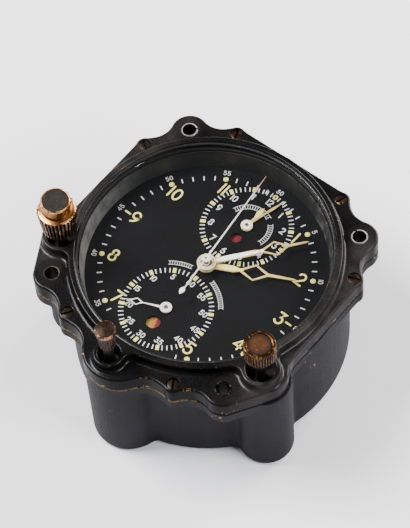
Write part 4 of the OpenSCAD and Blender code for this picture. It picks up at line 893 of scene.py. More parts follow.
WIDE = 0.58
SIX = [arc(0.29, 0.3, 0.29, 0.3, 0, 360), arc(0.62, 0.3, 0.62, 0.72, 180, 108)]
FIGURES = {
    "0": (WIDE, [arc(0.29, 0.5, 0.29, 0.5, 0, 360)]),
    "1": (0.0, [[(0, 0), (0, 1)]]),
    "2": (WIDE, [arc(0.28, 0.72, 0.28, 0.28, 165, -35) + [(0.0, 0.0), (WIDE, 0.0)]]),
    "3": (WIDE, [[(0.04, 1.0), (0.54, 1.0), (0.26, 0.6)] + arc(0.27, 0.31, 0.3, 0.31, 88, -155)]),
    "4": (WIDE, [[(0.44, 0.0), (0.44, 1.0), (0.0, 0.28), (0.62, 0.28)]]),
    "5": (WIDE, [[(0.52, 1.0), (0.1, 1.0), (0.06, 0.55)] + arc(0.27, 0.32, 0.3, 0.32, 118, -150)]),
    "6": (WIDE, SIX),
    "7": (WIDE, [[(0.0, 1.0), (0.56, 1.0), (0.18, 0.0)]]),
    "8": (WIDE, [arc(0.29, 0.77, 0.23, 0.23, -90, 270), arc(0.29, 0.27, 0.28, 0.27, 90, 450)]),
    "9": (WIDE, half_turned(SIX, WIDE)),
}
print(len(FIGURES), "figures drawn")

# %% The pen
# Round ends: how far past the line a section stands, and how wide it is, as shares of the width.
ROUND_END = [(0.25, 0.87), (0.43, 0.5)]


def ribbon(bm, points, width, low, high):
    """A flat band of constant width along points, with round ends or, on a closed line, none."""
    line = np.array(points)
    closed = np.hypot(*(line[0] - line[-1])) < width / 10
    if closed:
        line = line[:-1]
        before, after = np.roll(line, 1, axis=0), np.roll(line, -1, axis=0)
    else:
        before, after = np.vstack([line[:1], line[:-1]]), np.vstack([line[1:], line[-1:]])
    one, two = line - before, after - line
    if not closed:
        one[0], two[-1] = two[0], one[-1]
    one /= np.hypot(one[:, 0], one[:, 1])[:, None]
    two /= np.hypot(two[:, 0], two[:, 1])[:, None]
    along = one + two
    along /= np.hypot(along[:, 0], along[:, 1])[:, None]
    reach = width / 2 / np.maximum(np.sum(along * one, axis=1), LEAST_COSINE)
    sections = [(line[i], along[i], reach[i]) for i in range(len(line))]
    if not closed:
        start, end = sections[0], sections[-1]
        start_cap = [(start[0] - start[1] * width * a, start[1], width / 2 * b) for a, b in reversed(ROUND_END)]
        end_cap = [(end[0] + end[1] * width * a, end[1], width / 2 * b) for a, b in ROUND_END]
        sections = start_cap + sections + end_cap
    rings = []
    for spot, heading, half_width in sections:
        side = np.array([-heading[1], heading[0]]) * half_width
        left, right = spot + side, spot - side
        rings.append([bm.verts.new((*left, low)), bm.verts.new((*right, low)),
                      bm.verts.new((*right, high)), bm.verts.new((*left, high))])
    pairs = list(zip(rings, rings[1:]))
    if closed:
        pairs.append((rings[-1], rings[0]))
    for a, b in pairs:
        for i in range(4):
            bm.faces.new((a[i], a[(i + 1) % 4], b[(i + 1) % 4], b[i]))
    if not closed:
        bm.faces.new(rings[0])
        bm.faces.new(rings[-1])


def write(bm, number, x, y, height, pen, turn=0.0, spacing=0.3):
    """Draws a number with its middle at a dial point, turned clockwise by turn degrees."""
    places, pen_at = [], 0.0
    for figure in number:
        width, strokes = FIGURES[figure]
        places.append((pen_at, strokes))
        pen_at += width + spacing
    middle = (pen_at - spacing) / 2
    a = math.radians(-turn)
    for shift, strokes in places:
        for stroke in strokes:
            points = []
            for u, v in stroke:
                u, v = (u + shift - middle) * height, (v - 0.5) * height
                right = u * math.cos(a) - v * math.sin(a)
                up = u * math.sin(a) + v * math.cos(a)
                points.append(on_dial(x + right, y + up))
            ribbon(bm, points, pen, dial_top, dial_top + PRINT_HEIGHT)


print("pen ready for", "".join(FIGURES))

# %% Hour figures, minute figures and the small dials' figures
HOUR_RADIUS, HOUR_HEIGHT, HOUR_PEN, HOUR_SPACING = 27.5 * MM, 3.75 * MM, 0.56 * MM, 0.34
MINUTE_RADIUS, MINUTE_HEIGHT, MINUTE_PEN = 33.3 * MM, 1.35 * MM, 0.2 * MM
UPPER_RADIUS, UPPER_HEIGHT, UPPER_PEN = 10.6 * MM, 1.9 * MM, 0.34 * MM
LOWER_RADIUS, LOWER_HEIGHT, LOWER_PEN = 10.9 * MM, 1.55 * MM, 0.28 * MM
UNDER_UPPER_HOUR, UNDER_LOWER_HOUR = 12, 6
FIVE_MINUTES = range(5, 65, 5)
hour_ink, minute_ink, small_ink = bmesh.new(), bmesh.new(), bmesh.new()
for hour in range(1, 13):
    x, y = clock_spot(CENTRE, HOUR_RADIUS, DEGREES_AN_HOUR * hour)
    if hour not in (UNDER_UPPER_HOUR, UNDER_LOWER_HOUR):
        write(hour_ink, str(hour), x, y, HOUR_HEIGHT, HOUR_PEN, spacing=HOUR_SPACING)
    x, y = clock_spot(UPPER, UPPER_RADIUS, DEGREES_AN_HOUR * hour)
    write(small_ink, str(hour), x, y, UPPER_HEIGHT, UPPER_PEN)
for minute in FIVE_MINUTES:
    turn = DEGREES_A_MINUTE * minute
    x, y = clock_spot(CENTRE, MINUTE_RADIUS, turn)
    if minute != 30:
        upright = 180 if 15 < minute < 45 else 0
        write(minute_ink, str(minute), x, y, MINUTE_HEIGHT, MINUTE_PEN, turn + upright)
    x, y = clock_spot(LOWER, LOWER_RADIUS, -turn)
    write(small_ink, str(minute), x, y, LOWER_HEIGHT, LOWER_PEN)
for name, ink, paint in (("hour_figures", hour_ink, dial_lume), ("minute_figures", minute_ink, dial_white),
                         ("small_dial_figures", small_ink, dial_white)):
    figures = new_piece(name, ink)
    figures.data.materials.append(paint)
    print_pieces.append(figures)
    print(name, "have", len(figures.data.polygons), "faces")

# %% [markdown]
# ## Caption arcs
# Where a dial of this kind names its two small dials, this one carries a plain railway arc: two thin
# lines with rungs between them. It fills the place without saying anything.

# %% Caption arcs
CAPTION_PEN = 0.16 * MM
DEGREES_A_STEP = 6
UPPER_ARC, LOWER_ARC = (6.2 * MM, 7.6 * MM), (15.1 * MM, 16.3 * MM)
# Centre, inner and outer radius, first and last clock angle, number of rungs.
CAPTIONS = [(UPPER, UPPER_ARC, -72, 28, 16), (UPPER, UPPER_ARC, 46, 108, 10),
            (LOWER, LOWER_ARC, -38, -12, 10), (LOWER, LOWER_ARC, 16, 52, 14)]


def railway(bm, centre, radii, start, end, rungs):
    """Two arcs with rungs, from one clock angle to another."""
    steps = max(4, round(abs(end - start) / DEGREES_A_STEP))
    angles = [start + (end - start) * i / steps for i in range(steps + 1)]
    lines = [[clock_spot(centre, radius, a) for a in angles] for radius in radii]
    for i in range(rungs):
        a = start + (end - start) * (i + 0.5) / rungs
        lines.append([clock_spot(centre, radius, a) for radius in radii])
    for line in lines:
        ribbon(bm, [on_dial(*spot) for spot in line], CAPTION_PEN, dial_top, dial_top + PRINT_HEIGHT)


caption_ink = bmesh.new()
for caption in CAPTIONS:
    railway(caption_ink, *caption)
caption_arcs = new_piece("caption_arcs", caption_ink)
caption_arcs.data.materials.append(dial_white)
for piece in print_pieces + [caption_arcs]:
    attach(piece, "case")
    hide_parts("dial_markings")
print(len(CAPTIONS), "caption arcs")

# %% [markdown]
# ## Screws and bushes
# Six slotted cheese-head screws hold the front frame on the case. Nobody lines up their slots, so each
# has its own angle; the three far ones are lighter and coppery, rubbed brass with a painted glint. The four
# mounting bushes are pressed-in brass tubes: the panel's screws go through them. A hand has rubbed their
# rims. The upper pair's grey rims are also a painted highlight and the lower pair's darker rims painted shade,
# and their bores are painted black as the shade inside the holes, over old oxide.

# %% Frame screws
# Oxidised brass: brown-black, with grey-brown specks where the oxide has flaked.
aged_screw_brass = surface("aged_screw_brass", "#15100b", "#2c2117", 1.2, (0.3, 0.5), 0.2, 0.02, 0.8,
                           worn="#5c4630", worn_share=0.2, worn_mm=0.7, speck="#5c4630", speck_mm=0.5,
                           speck_share=0.4)
# The same brass, rubbed until it shows copper, and lighter as a painted glint on the three far screws.
coppery_glint_screw_brass = surface("coppery_glint_screw_brass", "#1c120d", "#3a281b", 1.2, (0.28, 0.45), 0.2, 0.02, 0.8,
                              worn="#8a6a4c", worn_share=0.3, worn_mm=0.7, speck="#120d0a", speck_mm=0.5,
                              speck_share=0.3)
SCREW_TOP = 41.2 * MM
SCREW_HEAD_UNDER = 39.9 * MM
SCREW_HEAD_R = 1.8 * MM
SCREW_SHANK_R = 1.1 * MM
SCREW_CIRCLE = 43.2 * MM
SLOT_WIDTH, SLOT_DEPTH = 0.6 * MM, 0.7 * MM
# Where each screw stands and how its slot is turned, in degrees.
SCREWS = [(26.6, 20), (63.4, 70), (116.6, 110), (153.4, 150), (243.4, 55), (296.6, 120)]
# The three far screws take the lighter coppery brass: rubbed copper with a painted glint.
COPPERY = (26.6, 63.4, 116.6)
screw_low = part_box("frame_screws")[0].z


def frame_screw():
    """One slotted screw with its slot along X, and a softened rim."""
    profile = [(0, screw_low), (SCREW_SHANK_R, screw_low), (SCREW_SHANK_R, SCREW_HEAD_UNDER),
               (SCREW_HEAD_R, SCREW_HEAD_UNDER), (SCREW_HEAD_R, SCREW_TOP - 0.28 * MM),
               (SCREW_HEAD_R - 0.08 * MM, SCREW_TOP - 0.1 * MM), (SCREW_HEAD_R - 0.28 * MM, SCREW_TOP),
               (0, SCREW_TOP)]
    screw = turned_piece("screw", profile, count=40, closed=False)
    slot = bar("slot", 3 * SCREW_HEAD_R, SLOT_WIDTH, 2 * SLOT_DEPTH)
    slot.data.transform(Matrix.Translation((0, 0, SCREW_TOP - SLOT_DEPTH)))
    return combine(screw, slot, "DIFFERENCE")


def screw_spots(wanted):
    """Places of the screws that are coppery, or of those that aren't."""
    return [(SCREW_CIRCLE * math.cos(math.radians(a)), SCREW_CIRCLE * math.sin(math.radians(a)), 0,
             math.radians(slot)) for a, slot in SCREWS if (a in COPPERY) == wanted]


for name, material, coppery in (("left_screws", aged_screw_brass, False),
                                ("right_screws", coppery_glint_screw_brass, True)):
    screws = finish_surface(copies_at(name, frame_screw(), material, screw_spots(coppery)))
    place(screws, "case", "brass", material, "frame_screws")

# %% Mounting bushes
# Oxidised brass tube: black and dull, its bore's black also painted shade inside the hole; its rim rubbed to a
# grey line that is also a painted highlight.
highlit_bush_brass = surface("highlit_bush_brass", "#060505", "#0c0a09", 1.5, (0.4, 0.6), 0.3, 0.02,
                        worn="#9d9890", worn_share=1.0, worn_mm=0.8, Specular_IOR_Level=0.05)
# The lower pair is a painted-shade copy of the same tube: darker, its rim showing in short brown pieces.
shaded_bush_brass = surface("shaded_bush_brass", "#050404", "#0a0908", 1.5, (0.4, 0.6), 0.3, 0.02,
                    worn="#4a443a", worn_share=0.9, worn_mm=0.8, Specular_IOR_Level=0.05)
BUSH_R, BORE_R = 2.5 * MM, 2.05 * MM
bush_low, bush_high = (corner.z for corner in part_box("mount_bushes"))
# The rim's section in millimetres: outside from the tube's wall and down from its top.
OUTER_RIM = [(0.0, 0.4), (0.0, 0.2), (-0.1, 0.1), (-0.2, 0.0)]
INNER_RIM = [(0.14, 0.0), (0.05, 0.04), (0.0, 0.16), (0.0, 0.4)]
bush_profile = [(BORE_R, bush_low), (BUSH_R, bush_low)]
bush_profile += [(BUSH_R + out * MM, bush_high - down * MM) for out, down in OUTER_RIM]
bush_profile += [(BORE_R + out * MM, bush_high - down * MM) for out, down in INNER_RIM]
for name, material, side in (("upper_bushes", highlit_bush_brass, 1), ("lower_bushes", shaded_bush_brass, -1)):
    bushes = copies_at(name, turned_piece("bush", bush_profile, count=64), material,
                       [(x * MOUNT_REACH, side * MOUNT_REACH, 0, 0.0) for x in (-1, 1)])
    place(finish_surface(bushes), "case", "bush_bronze", material, "mount_bushes")

# %% [markdown]
# ## Glass, its seals and the reflector
# The glass is a flat disc, pressed on a rubber gasket by a thin snap ring. Below the glass, a grey cone
# called the reflector hides the edge of the dial. Aged paint on it has lighter streaks, longest between 8
# and 10 o'clock, where the glass gasket shed dust and a painted light lifts that side; a few bright streaks
# at the top are painted glints.
# Clean flat glass is a faint mirror that lets the rest through, so its material is a mirror whose
# opacity is the share that glass reflects. Light then reaches the dial without a scattered path. The
# share is 3 % seen straight on and rises with the slant, the same for both faces of the plate.

# %% Glass
STRAIGHT_ON, GRAZING_POWER = 0.03, 5.0
NO_BIAS = 0.5
EDGE_BREAK = 0.15 * MM
GLASS_SHARP_ABOVE = math.radians(20)
# Polished plate glass: a sharp, faint mirror, stronger at a slant.
crystal = surface("crystal_glass", "#ffffff", "#f4f8f6", 20, (0.01, 0.03), 4, 0.0, 1.0)
crystal_tree = crystal.node_tree
slant = add(crystal_tree, "ShaderNodeLayerWeight", {"Blend": NO_BIAS}).outputs["Facing"]
grazing = add(crystal_tree, "ShaderNodeMath", [slant, GRAZING_POWER], operation="POWER").outputs[0]
mirrored = add(crystal_tree, "ShaderNodeMapRange", [grazing, 0.0, 1.0, STRAIGHT_ON, 1.0]).outputs[0]
crystal_tree.links.new(mirrored, crystal_tree.nodes["Principled BSDF"].inputs["Alpha"])
glass_low, glass_high = (corner.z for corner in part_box("glass"))
glass_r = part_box("glass")[1].x
glass = turned_piece("glass_disc", [
    (0, glass_low), (glass_r - EDGE_BREAK, glass_low), (glass_r, glass_low + EDGE_BREAK),
    (glass_r, glass_high - EDGE_BREAK), (glass_r - EDGE_BREAK, glass_high), (0, glass_high)],
    count=256, closed=False)
place(finish_surface(glass, GLASS_SHARP_ABOVE), "case", "crystal", crystal, "glass")

# %% Snap ring and gasket
RIM_ROUND = 0.12 * MM
RIM_MIDDLE = 0.3 * RIM_ROUND
RING_INNER, RING_OUTER = 36.8 * MM, 37.5 * MM
# Blackened spring steel: a thin satin line round the glass.
ring_black = surface("snap_ring_black", "#0a0a0b", "#131315", 5, (0.25, 0.4), 0.3, 0.006,
                     worn="#6a5844", worn_share=0.1, worn_mm=0.9)
# Hardened rubber: flat and almost black.
seal_rubber = surface("seal_rubber", "#121111", "#1c1a19", 3, (0.6, 0.8), 0.3, 0.02)
ring_low, ring_high = (corner.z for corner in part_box("glass_retaining_ring"))
snap_ring = turned_piece("snap_ring", [
    (RING_INNER, ring_low), (RING_OUTER, ring_low), (RING_OUTER, ring_high - RIM_ROUND),
    (RING_OUTER - RIM_MIDDLE, ring_high - RIM_MIDDLE), (RING_OUTER - RIM_ROUND, ring_high),
    (RING_INNER + RIM_ROUND, ring_high), (RING_INNER + RIM_MIDDLE, ring_high - RIM_MIDDLE),
    (RING_INNER, ring_high - RIM_ROUND)], count=256)
place(finish_surface(snap_ring), "case", "frame_lacquer", ring_black, "glass_retaining_ring")
gasket_low, gasket_high = (corner.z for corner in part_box("glass_gasket"))
gasket = turned_piece("glass_seal", [(RING_INNER, gasket_low), (glass_r, gasket_low), (glass_r, gasket_high),
                                     (RING_INNER, gasket_high)], count=256)
place(finish_surface(gasket), "case", "seal_rubber", seal_rubber, "glass_gasket")

# %% Reflector paint, with light dust and painted light on one side, and painted glints
# A level line through a side of the ring, that gives 1 where the mean radius meets it.
RING_MEAN_R = 36 * MM
TOWARD_NINE = (-0.88 / RING_MEAN_R, -0.47 / RING_MEAN_R, 0.0)
TOWARD_ONE = (0.62 / RING_MEAN_R, 0.78 / RING_MEAN_R, 0.0)
STREAK_MM = 2.5
# Grey spirit paint, gone dark, with lighter specks.
reflector_paint = surface("reflector_paint", "#181818", "#20201f", 6, (0.4, 0.6), 0.4, 0.01,
                          speck="#30302f", speck_mm=1.1, speck_share=0.3)
reflector_tree = reflector_paint.node_tree
spot_on_ring = add(reflector_tree, "ShaderNodeTexCoord").outputs["Object"]
streaks = patches(reflector_tree, spot_on_ring, STREAK_MM, 4.0)
# Each light band, dust with painted light at 9 o'clock and painted glints at 1 o'clock: its colour, its side,
# the side's limits, and the limits of the streaks in it.
for code, side, side_limits, streak_limits in (
        ("#62625f", TOWARD_NINE, (0.66, 1.0), (0.3, 0.6, 0.35, 1.0)),
        ("#5e5e5b", TOWARD_ONE, (0.92, 0.98), (0.5, 0.75))):
    toward = add(reflector_tree, "ShaderNodeVectorMath", [spot_on_ring, side], operation="DOT_PRODUCT")
    on_side = add(reflector_tree, "ShaderNodeMapRange", [toward.outputs["Value"], *side_limits]).outputs[0]
    streaked = add(reflector_tree, "ShaderNodeMapRange", [streaks, *streak_limits]).outputs[0]
    share = add(reflector_tree, "ShaderNodeMath", [streaked, on_side], operation="MULTIPLY").outputs[0]
    tinted(reflector_paint, share, code)
    print("a light band of", code)

# %% Reflector cone
# The cone's section in millimetres: (radius, height).
REFLECTOR = [(35.5, 34.8), (38.0, 34.8), (38.0, 40.05), (36.45, 40.05), (36.45, 41.25), (36.2, 41.25)]
reflector = turned_piece("reflector_cone", [(r * MM, z * MM) for r, z in REFLECTOR], count=256)
place(finish_surface(reflector), "case", "reflector_paint", reflector_paint, "reflector_ring")

# %% [markdown]
# ## Hands
# The hands are skeleton hands, stamped from thin sheet: an open lozenge towards the tip, and nearer
# the hub a window that holds a leaf of luminous paint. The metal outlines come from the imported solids.
# The leaves are their own crowned pieces, because the paint stands proud of the metal by its surface
# tension. The sweep hand rides above both, on a nut with a bright bezel.

# %% Finishes of the hands
# Pale gilding on sheet brass: light gold, softly shining.
pale_gilt = surface("pale_gilt", "#c6a860", "#d8be7c", 2, (0.3, 0.45), 0.2, 0.004, 0.2)
# Luminous paint of the hour hand: yellowed and matt.
cream_lume = surface("cream_lume", "#e8cf66", "#eedc80", 2, (0.55, 0.75), 0.25, 0.03)
# Luminous paint of the minute hand: renewed, and nearly white.
white_lume = surface("white_lume", "#f2efe6", "#faf8f2", 2, (0.5, 0.7), 0.25, 0.02)
# Lacquered nuts and hubs: cream with a slight shine.
hub_cream = surface("hub_cream", "#ebdfc4", "#f6eeda", 1.5, (0.3, 0.45), 0.2, 0.004, 0.1)
# White enamel of the small hands: satin.
white_enamel = surface("white_enamel", "#d6d3c6", "#e4e2d8", 2, (0.4, 0.6), 0.2, 0.004)
# The sweep hand's enamel is greyer, and its tip beyond the lozenge has faded to copper.
sweep_enamel = surface("sweep_enamel", "#d8d0bc", "#e2dccb", 2, (0.4, 0.6), 0.2, 0.004)
TIP_FROM, TIP_FULL = 26.2 * MM, 26.8 * MM
sweep_tree = sweep_enamel.node_tree
off_hub = distance_from_axis(sweep_tree)
beyond = add(sweep_tree, "ShaderNodeMapRange", [off_hub, TIP_FROM, TIP_FULL]).outputs[0]
tinted(sweep_enamel, beyond, "#bd9474")
print("six finishes for the hands")

# %% Hand plates, leaves and hubs
HAND_EDGE = 0.07 * MM
LEAF_HEIGHT, LEAF_ROUND, LEAF_STEPS = 0.16 * MM, 0.15 * MM, 16
PLATE_CUT_AT = 0.4


def hand_plate(node_name, body, slot_name, material, thickness=None):
    """The stamped outline of a hand with its upper edges softened."""
    low, high = (corner.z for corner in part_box(node_name))
    top = low + thickness if thickness else high
    plate = slab(node_name + "_plate", section(node_name, low + (top - low) * PLATE_CUT_AT), low, top,
                 round_high=HAND_EDGE, steps=2)
    return place(finish_surface(plate), body, slot_name, material, node_name)


def leaf(name, node_name, body, slot_name, material, clock_angle, size_mm, fullest, base):
    """A crowned leaf of paint along a hand, fullest at a share of its length."""
    start, end, half_width, tip_half = (length * MM for length in size_mm)
    skew = math.log(0.5) / math.log(fullest)
    side = []
    for i in range(LEAF_STEPS + 1):
        t = i / LEAF_STEPS
        swell = math.sin(math.pi * t ** skew)
        side.append((tip_half + (half_width - tip_half) * swell, start + (end - start) * t))
    outline = np.array(side + [(-x, y) for x, y in reversed(side)])
    made = slab(name, [outline], base, base + LEAF_HEIGHT, round_high=LEAF_ROUND, steps=3)
    made.data.transform(Matrix.Rotation(DIAL_TURN - math.radians(clock_angle), 4, "Z"))
    return place(finish_surface(made), body, slot_name, material, node_name)


def hub(name, node_name, body, slot_name, material, profile, centre=CENTRE):
    """A turned hub from (radius, height) points in millimetres."""
    made = turned_piece(name, [(r * MM, z * MM) for r, z in profile], on_dial(*centre), 64)
    return place(finish_surface(made), body, slot_name, material, node_name)


print("helpers for three kinds of pieces")

# %% Hour and minute hands
THIN = 0.3 * MM
HOUR_AT, MINUTE_AT = 63.1, 37.6
# Each leaf's start, end, half width and half width at its tips, in millimetres, and where it is fullest.
HOUR_LEAVES = [("hour_leaf", (2.6, 10.1, 0.95, 0.3), 0.5), ("hour_knot", (9.7, 10.9, 0.62, 0.3), 0.5)]
MINUTE_LEAVES = [("minute_leaf", (2.6, 16.1, 0.85, 0.3), 0.35), ("minute_knot", (15.8, 17.0, 0.6, 0.3), 0.5)]
for hand, thickness, slot_name, lume, clock_angle, leaves in (
        ("hour", None, "yellow_lume", cream_lume, HOUR_AT, HOUR_LEAVES),
        ("minute", THIN, "white_lume", white_lume, MINUTE_AT, MINUTE_LEAVES)):
    hand_plate(hand + "_hand", hand, "copper_gilt", pale_gilt, thickness)
    leaf_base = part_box(hand + "_hand")[0].z + THIN
    for name, size_mm, fullest in leaves:
        leaf(name, hand + "_hand", hand, slot_name, lume, clock_angle, size_mm, fullest, leaf_base)
MINUTE_HUB = [(0.75, 37.22), (2.72, 37.22), (2.75, 37.7), (2.68, 37.8), (2.4, 37.8), (2.32, 37.45),
              (2.12, 37.45), (2.04, 37.78), (1.82, 37.78), (1.7, 37.4), (0.75, 37.4)]
hub("minute_hub", "minute_hand", "minute", "white_lume", hub_cream, MINUTE_HUB)

# %% Sweep hand
SWEEP_AT, SWEEP_TAIL_AT = -8.25, 172.25
SWEEP_EDGE = 0.03 * MM
# Half widths along the blade, in millimetres: tail, hub, lozenge and needle tip.
SWEEP_HALF_WIDTHS = [(0.16, -11.8), (0.22, -2.0), (0.24, 0.0), (0.22, 3.0), (0.13, 26.4), (0.46, 27.5),
                     (0.12, 29.0), (0.05, 33.1)]
# The nut's section: radius in millimetres, and height from the hand's underside or from its top.
SWEEP_NUT_FOOT = [(0.0, 0.1), (1.37, 0.1)]
SWEEP_NUT = [(1.4, -0.12), (1.34, 0), (1.08, 0), (1.0, -0.22), (0.82, -0.22), (0.74, -0.02), (0.42, -0.02),
             (0.36, -0.35), (0.0, -0.35)]
sweep_low, sweep_high = (corner.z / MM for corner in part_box("seconds_hand"))
sweep_side = [(x * MM, y * MM) for x, y in SWEEP_HALF_WIDTHS]
sweep_outline = np.array(sweep_side + [(-x, y) for x, y in reversed(sweep_side)])
sweep = slab("sweep_blade", [sweep_outline], sweep_low * MM, sweep_low * MM + THIN,
             round_high=SWEEP_EDGE, steps=2)
sweep.data.transform(Matrix.Rotation(DIAL_TURN - math.radians(SWEEP_AT), 4, "Z"))
place(finish_surface(sweep), "chrono", "white_lume", sweep_enamel, "seconds_hand")
nut = [(r, sweep_low + up) for r, up in SWEEP_NUT_FOOT] + [(r, sweep_high + up) for r, up in SWEEP_NUT]
hub("sweep_nut", "seconds_hand", "chrono", "white_lume", hub_cream, nut)
leaf("sweep_tail_leaf", "seconds_hand", "chrono", "white_lume", white_lume, SWEEP_TAIL_AT,
     (11.4, 14.05, 0.78, 0.08), 0.45, sweep_low * MM + THIN)

# %% Hands of the small dials
SMALL_THIN = 0.2 * MM
# A small hub's section: radius in millimetres, and height from its top.
SMALL_HUB = [(0.42, -0.35), (1.72, -0.35), (1.75, -0.1), (1.64, 0), (1.2, 0), (1.1, -0.07),
             (0.7, -0.07), (0.62, 0), (0.42, 0)]
hand_plate("total_hand", "total", "white_lume", white_enamel, thickness=SMALL_THIN)
hand_plate("elapsed_hour_hand", "elapsed_hours", "yellow_lume", cream_lume)
hand_plate("elapsed_minute_hand", "elapsed_minutes", "copper_gilt", pale_gilt, thickness=SMALL_THIN)
for name, node_name, body, finish, centre in (
        ("total_hub", "total_hand", "total", white_enamel, LOWER),
        ("elapsed_hub", "elapsed_minute_hand", "elapsed_minutes", hub_cream, UPPER)):
    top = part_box(node_name)[1].z / MM
    hub(name, node_name, body, "white_lume", finish, [(r, top + up) for r, up in SMALL_HUB], centre)

# %% [markdown]
# ## Windows
# A painted disc behind the dial turns under each small window to tell what the counter does. The upper
# one shows plain red. The lower one shows its seam: yellow, worn to orange, beside red.

# %% Windows
# Flag paint, plain: deep red, satin.
flag_red = surface("flag_red", "#5c080c", "#700c10", 2, (0.4, 0.55), 0.3, 0.01)
# Flag paint in two colours: red, and a yellow that has gone orange towards the seam.
flag_two_tone = surface("flag_two_tone", "#66100e", "#580e0a", 2, (0.4, 0.55), 0.3, 0.01)
# Across the seam, in millimetres: a level line that is fed with the position and gives the distance.
ACROSS_SEAM = (904.0, 293.0, 0.0)
SEAM_AT, SEAM_HALF_FRAY, FRAY_MM = -7.1, 0.5, 0.8
ORANGE_FROM, ORANGE_FULL = SEAM_AT - 1.5, SEAM_AT - 0.9
RED_FROM, RED_FULL = SEAM_AT - 0.2, SEAM_AT + 0.3
flag_tree = flag_two_tone.node_tree
flag_base = flag_tree.nodes["Principled BSDF"].inputs["Base Color"]
flag_spot = add(flag_tree, "ShaderNodeTexCoord").outputs["Object"]
across = add(flag_tree, "ShaderNodeVectorMath", [flag_spot, ACROSS_SEAM],
             operation="DOT_PRODUCT").outputs["Value"]
fray = patches(flag_tree, flag_spot, FRAY_MM, 3, 0.3, 0.7, -SEAM_HALF_FRAY, SEAM_HALF_FRAY)
frayed = add(flag_tree, "ShaderNodeMath", [across, fray], operation="ADD").outputs[0]
to_orange = add(flag_tree, "ShaderNodeMapRange", [frayed, ORANGE_FROM, ORANGE_FULL]).outputs[0]
to_red = add(flag_tree, "ShaderNodeMapRange", [frayed, RED_FROM, RED_FULL]).outputs[0]
orange = add(flag_tree, "ShaderNodeMix", {0: to_orange, 6: colour("#a88a34"), 7: colour("#a85a20")},
             **COLOUR_MIX)
two_tone = add(flag_tree, "ShaderNodeMix", {0: to_red, 6: orange.outputs[2], 7: flag_base.links[0].from_socket},
               **COLOUR_MIX)
flag_tree.links.new(two_tone.outputs[2], flag_base)
print("seam of the lower flag at", SEAM_AT, "mm")

# %% [markdown]
# ## Knobs
# Each knob is turned from bar and knurled coarsely so that a gloved hand can grip it. A knurl this
# coarse is cut rib by rib, so one rib is modelled and a ring of copies is laid round the core. Ribs
# wear bright on their crests and keep brown lacquer and dirt between them, where the core is painted
# near-black as shade.

# %% Knurling
RIB_ROOT, RIB_SHOULDER = 0.7 * MM, 0.16 * MM
FIRST_RIB_AT = 0.03
RIB_UNEVENNESS = 0.012


def on_circle(radius_mm, degrees):
    """A knob's place from its distance off the middle and its angle, anticlockwise from 3 o'clock."""
    a = math.radians(degrees)
    return radius_mm * MM * math.cos(a), radius_mm * MM * math.sin(a)


def rib(levels_mm, width_mm):
    """A rib along Z that stands out along X: levels are (height, how far it stands out)."""
    bm = bmesh.new()
    rings = []
    width = width_mm * MM
    for z, out in ((z * MM, out * MM) for z, out in levels_mm):
        shoulder = max(out - RIB_SHOULDER, 0.0)
        shape = [(-RIB_ROOT, -width / 2), (shoulder, -width / 2), (out, -width / 5), (out, width / 5),
                 (shoulder, width / 2), (-RIB_ROOT, width / 2)]
        rings.append([bm.verts.new((x, y, z)) for x, y in shape])
    for one, two in zip(rings, rings[1:]):
        for i in range(len(one)):
            j = (i + 1) % len(one)
            bm.faces.new((one[i], one[j], two[j], two[i]))
    bm.faces.new(rings[0])
    bm.faces.new(rings[-1])
    return new_piece("rib", bm)


def knurl(name, knob, slot_name, material, count, radius_mm, levels_mm, width_mm, low_mm, seed):
    """A ring of ribs round a knob, which is its node, its body and its place."""
    node_name, body, centre = knob
    ribs = ring_of(name, rib(levels_mm, width_mm), material, count, radius_mm * MM, FIRST_RIB_AT,
                   (*centre, low_mm * MM), unevenness=RIB_UNEVENNESS, seed=seed)
    return place(finish_surface(ribs), body, slot_name, material, node_name)


def core(name, knob, slot_name, material, profile):
    """A turned piece of a knob, from (radius, height) points in millimetres."""
    node_name, body, centre = knob
    made = turned_piece(name, [(r * MM, z * MM) for r, z in profile], centre)
    return place(finish_surface(made), body, slot_name, material, node_name)


def inlay(name, knob, slot_name, material, radius, edge):
    """The disc let into a knob's top, with a softened edge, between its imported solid's levels."""
    low, high = (corner.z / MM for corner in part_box(knob[0]))
    return core(name, knob, slot_name, material,
                [(0, low), (radius, low), (radius, high - edge[1]), (radius - edge[0], high), (0, high)])


print("ribs are set in", RIB_ROOT / MM, "mm deep")

# %% Finishes of the winding knob
# Painted shade between the ribs, over dirt and old lacquer: brown-black, without shine.
knurl_shadow = surface("knurl_shadow", "#0a0604", "#150d08", 1.5, (0.5, 0.7), 0.3, 0.02, Specular_IOR_Level=0.1)
# The disc's black paint, gone brown and speckled with dust.
wind_disc = surface("wind_disc", "#120f0c", "#211c17", 1.6, (0.45, 0.65), 0.35, 0.02, 0.1,
                    speck="#40362b", speck_mm=0.5, speck_share=0.3, Specular_IOR_Level=0.2)
# Brown brass of the ribs, polished on the crests by gloved fingers.
worn_knurl = surface("worn_knurl", "#4a3622", "#6a4f34", 2, (0.3, 0.45), 0.25, 0.006, 1.0,
                     worn="#c0a07c", worn_share=0.45, worn_mm=0.8)
print("three finishes for the winding knob")

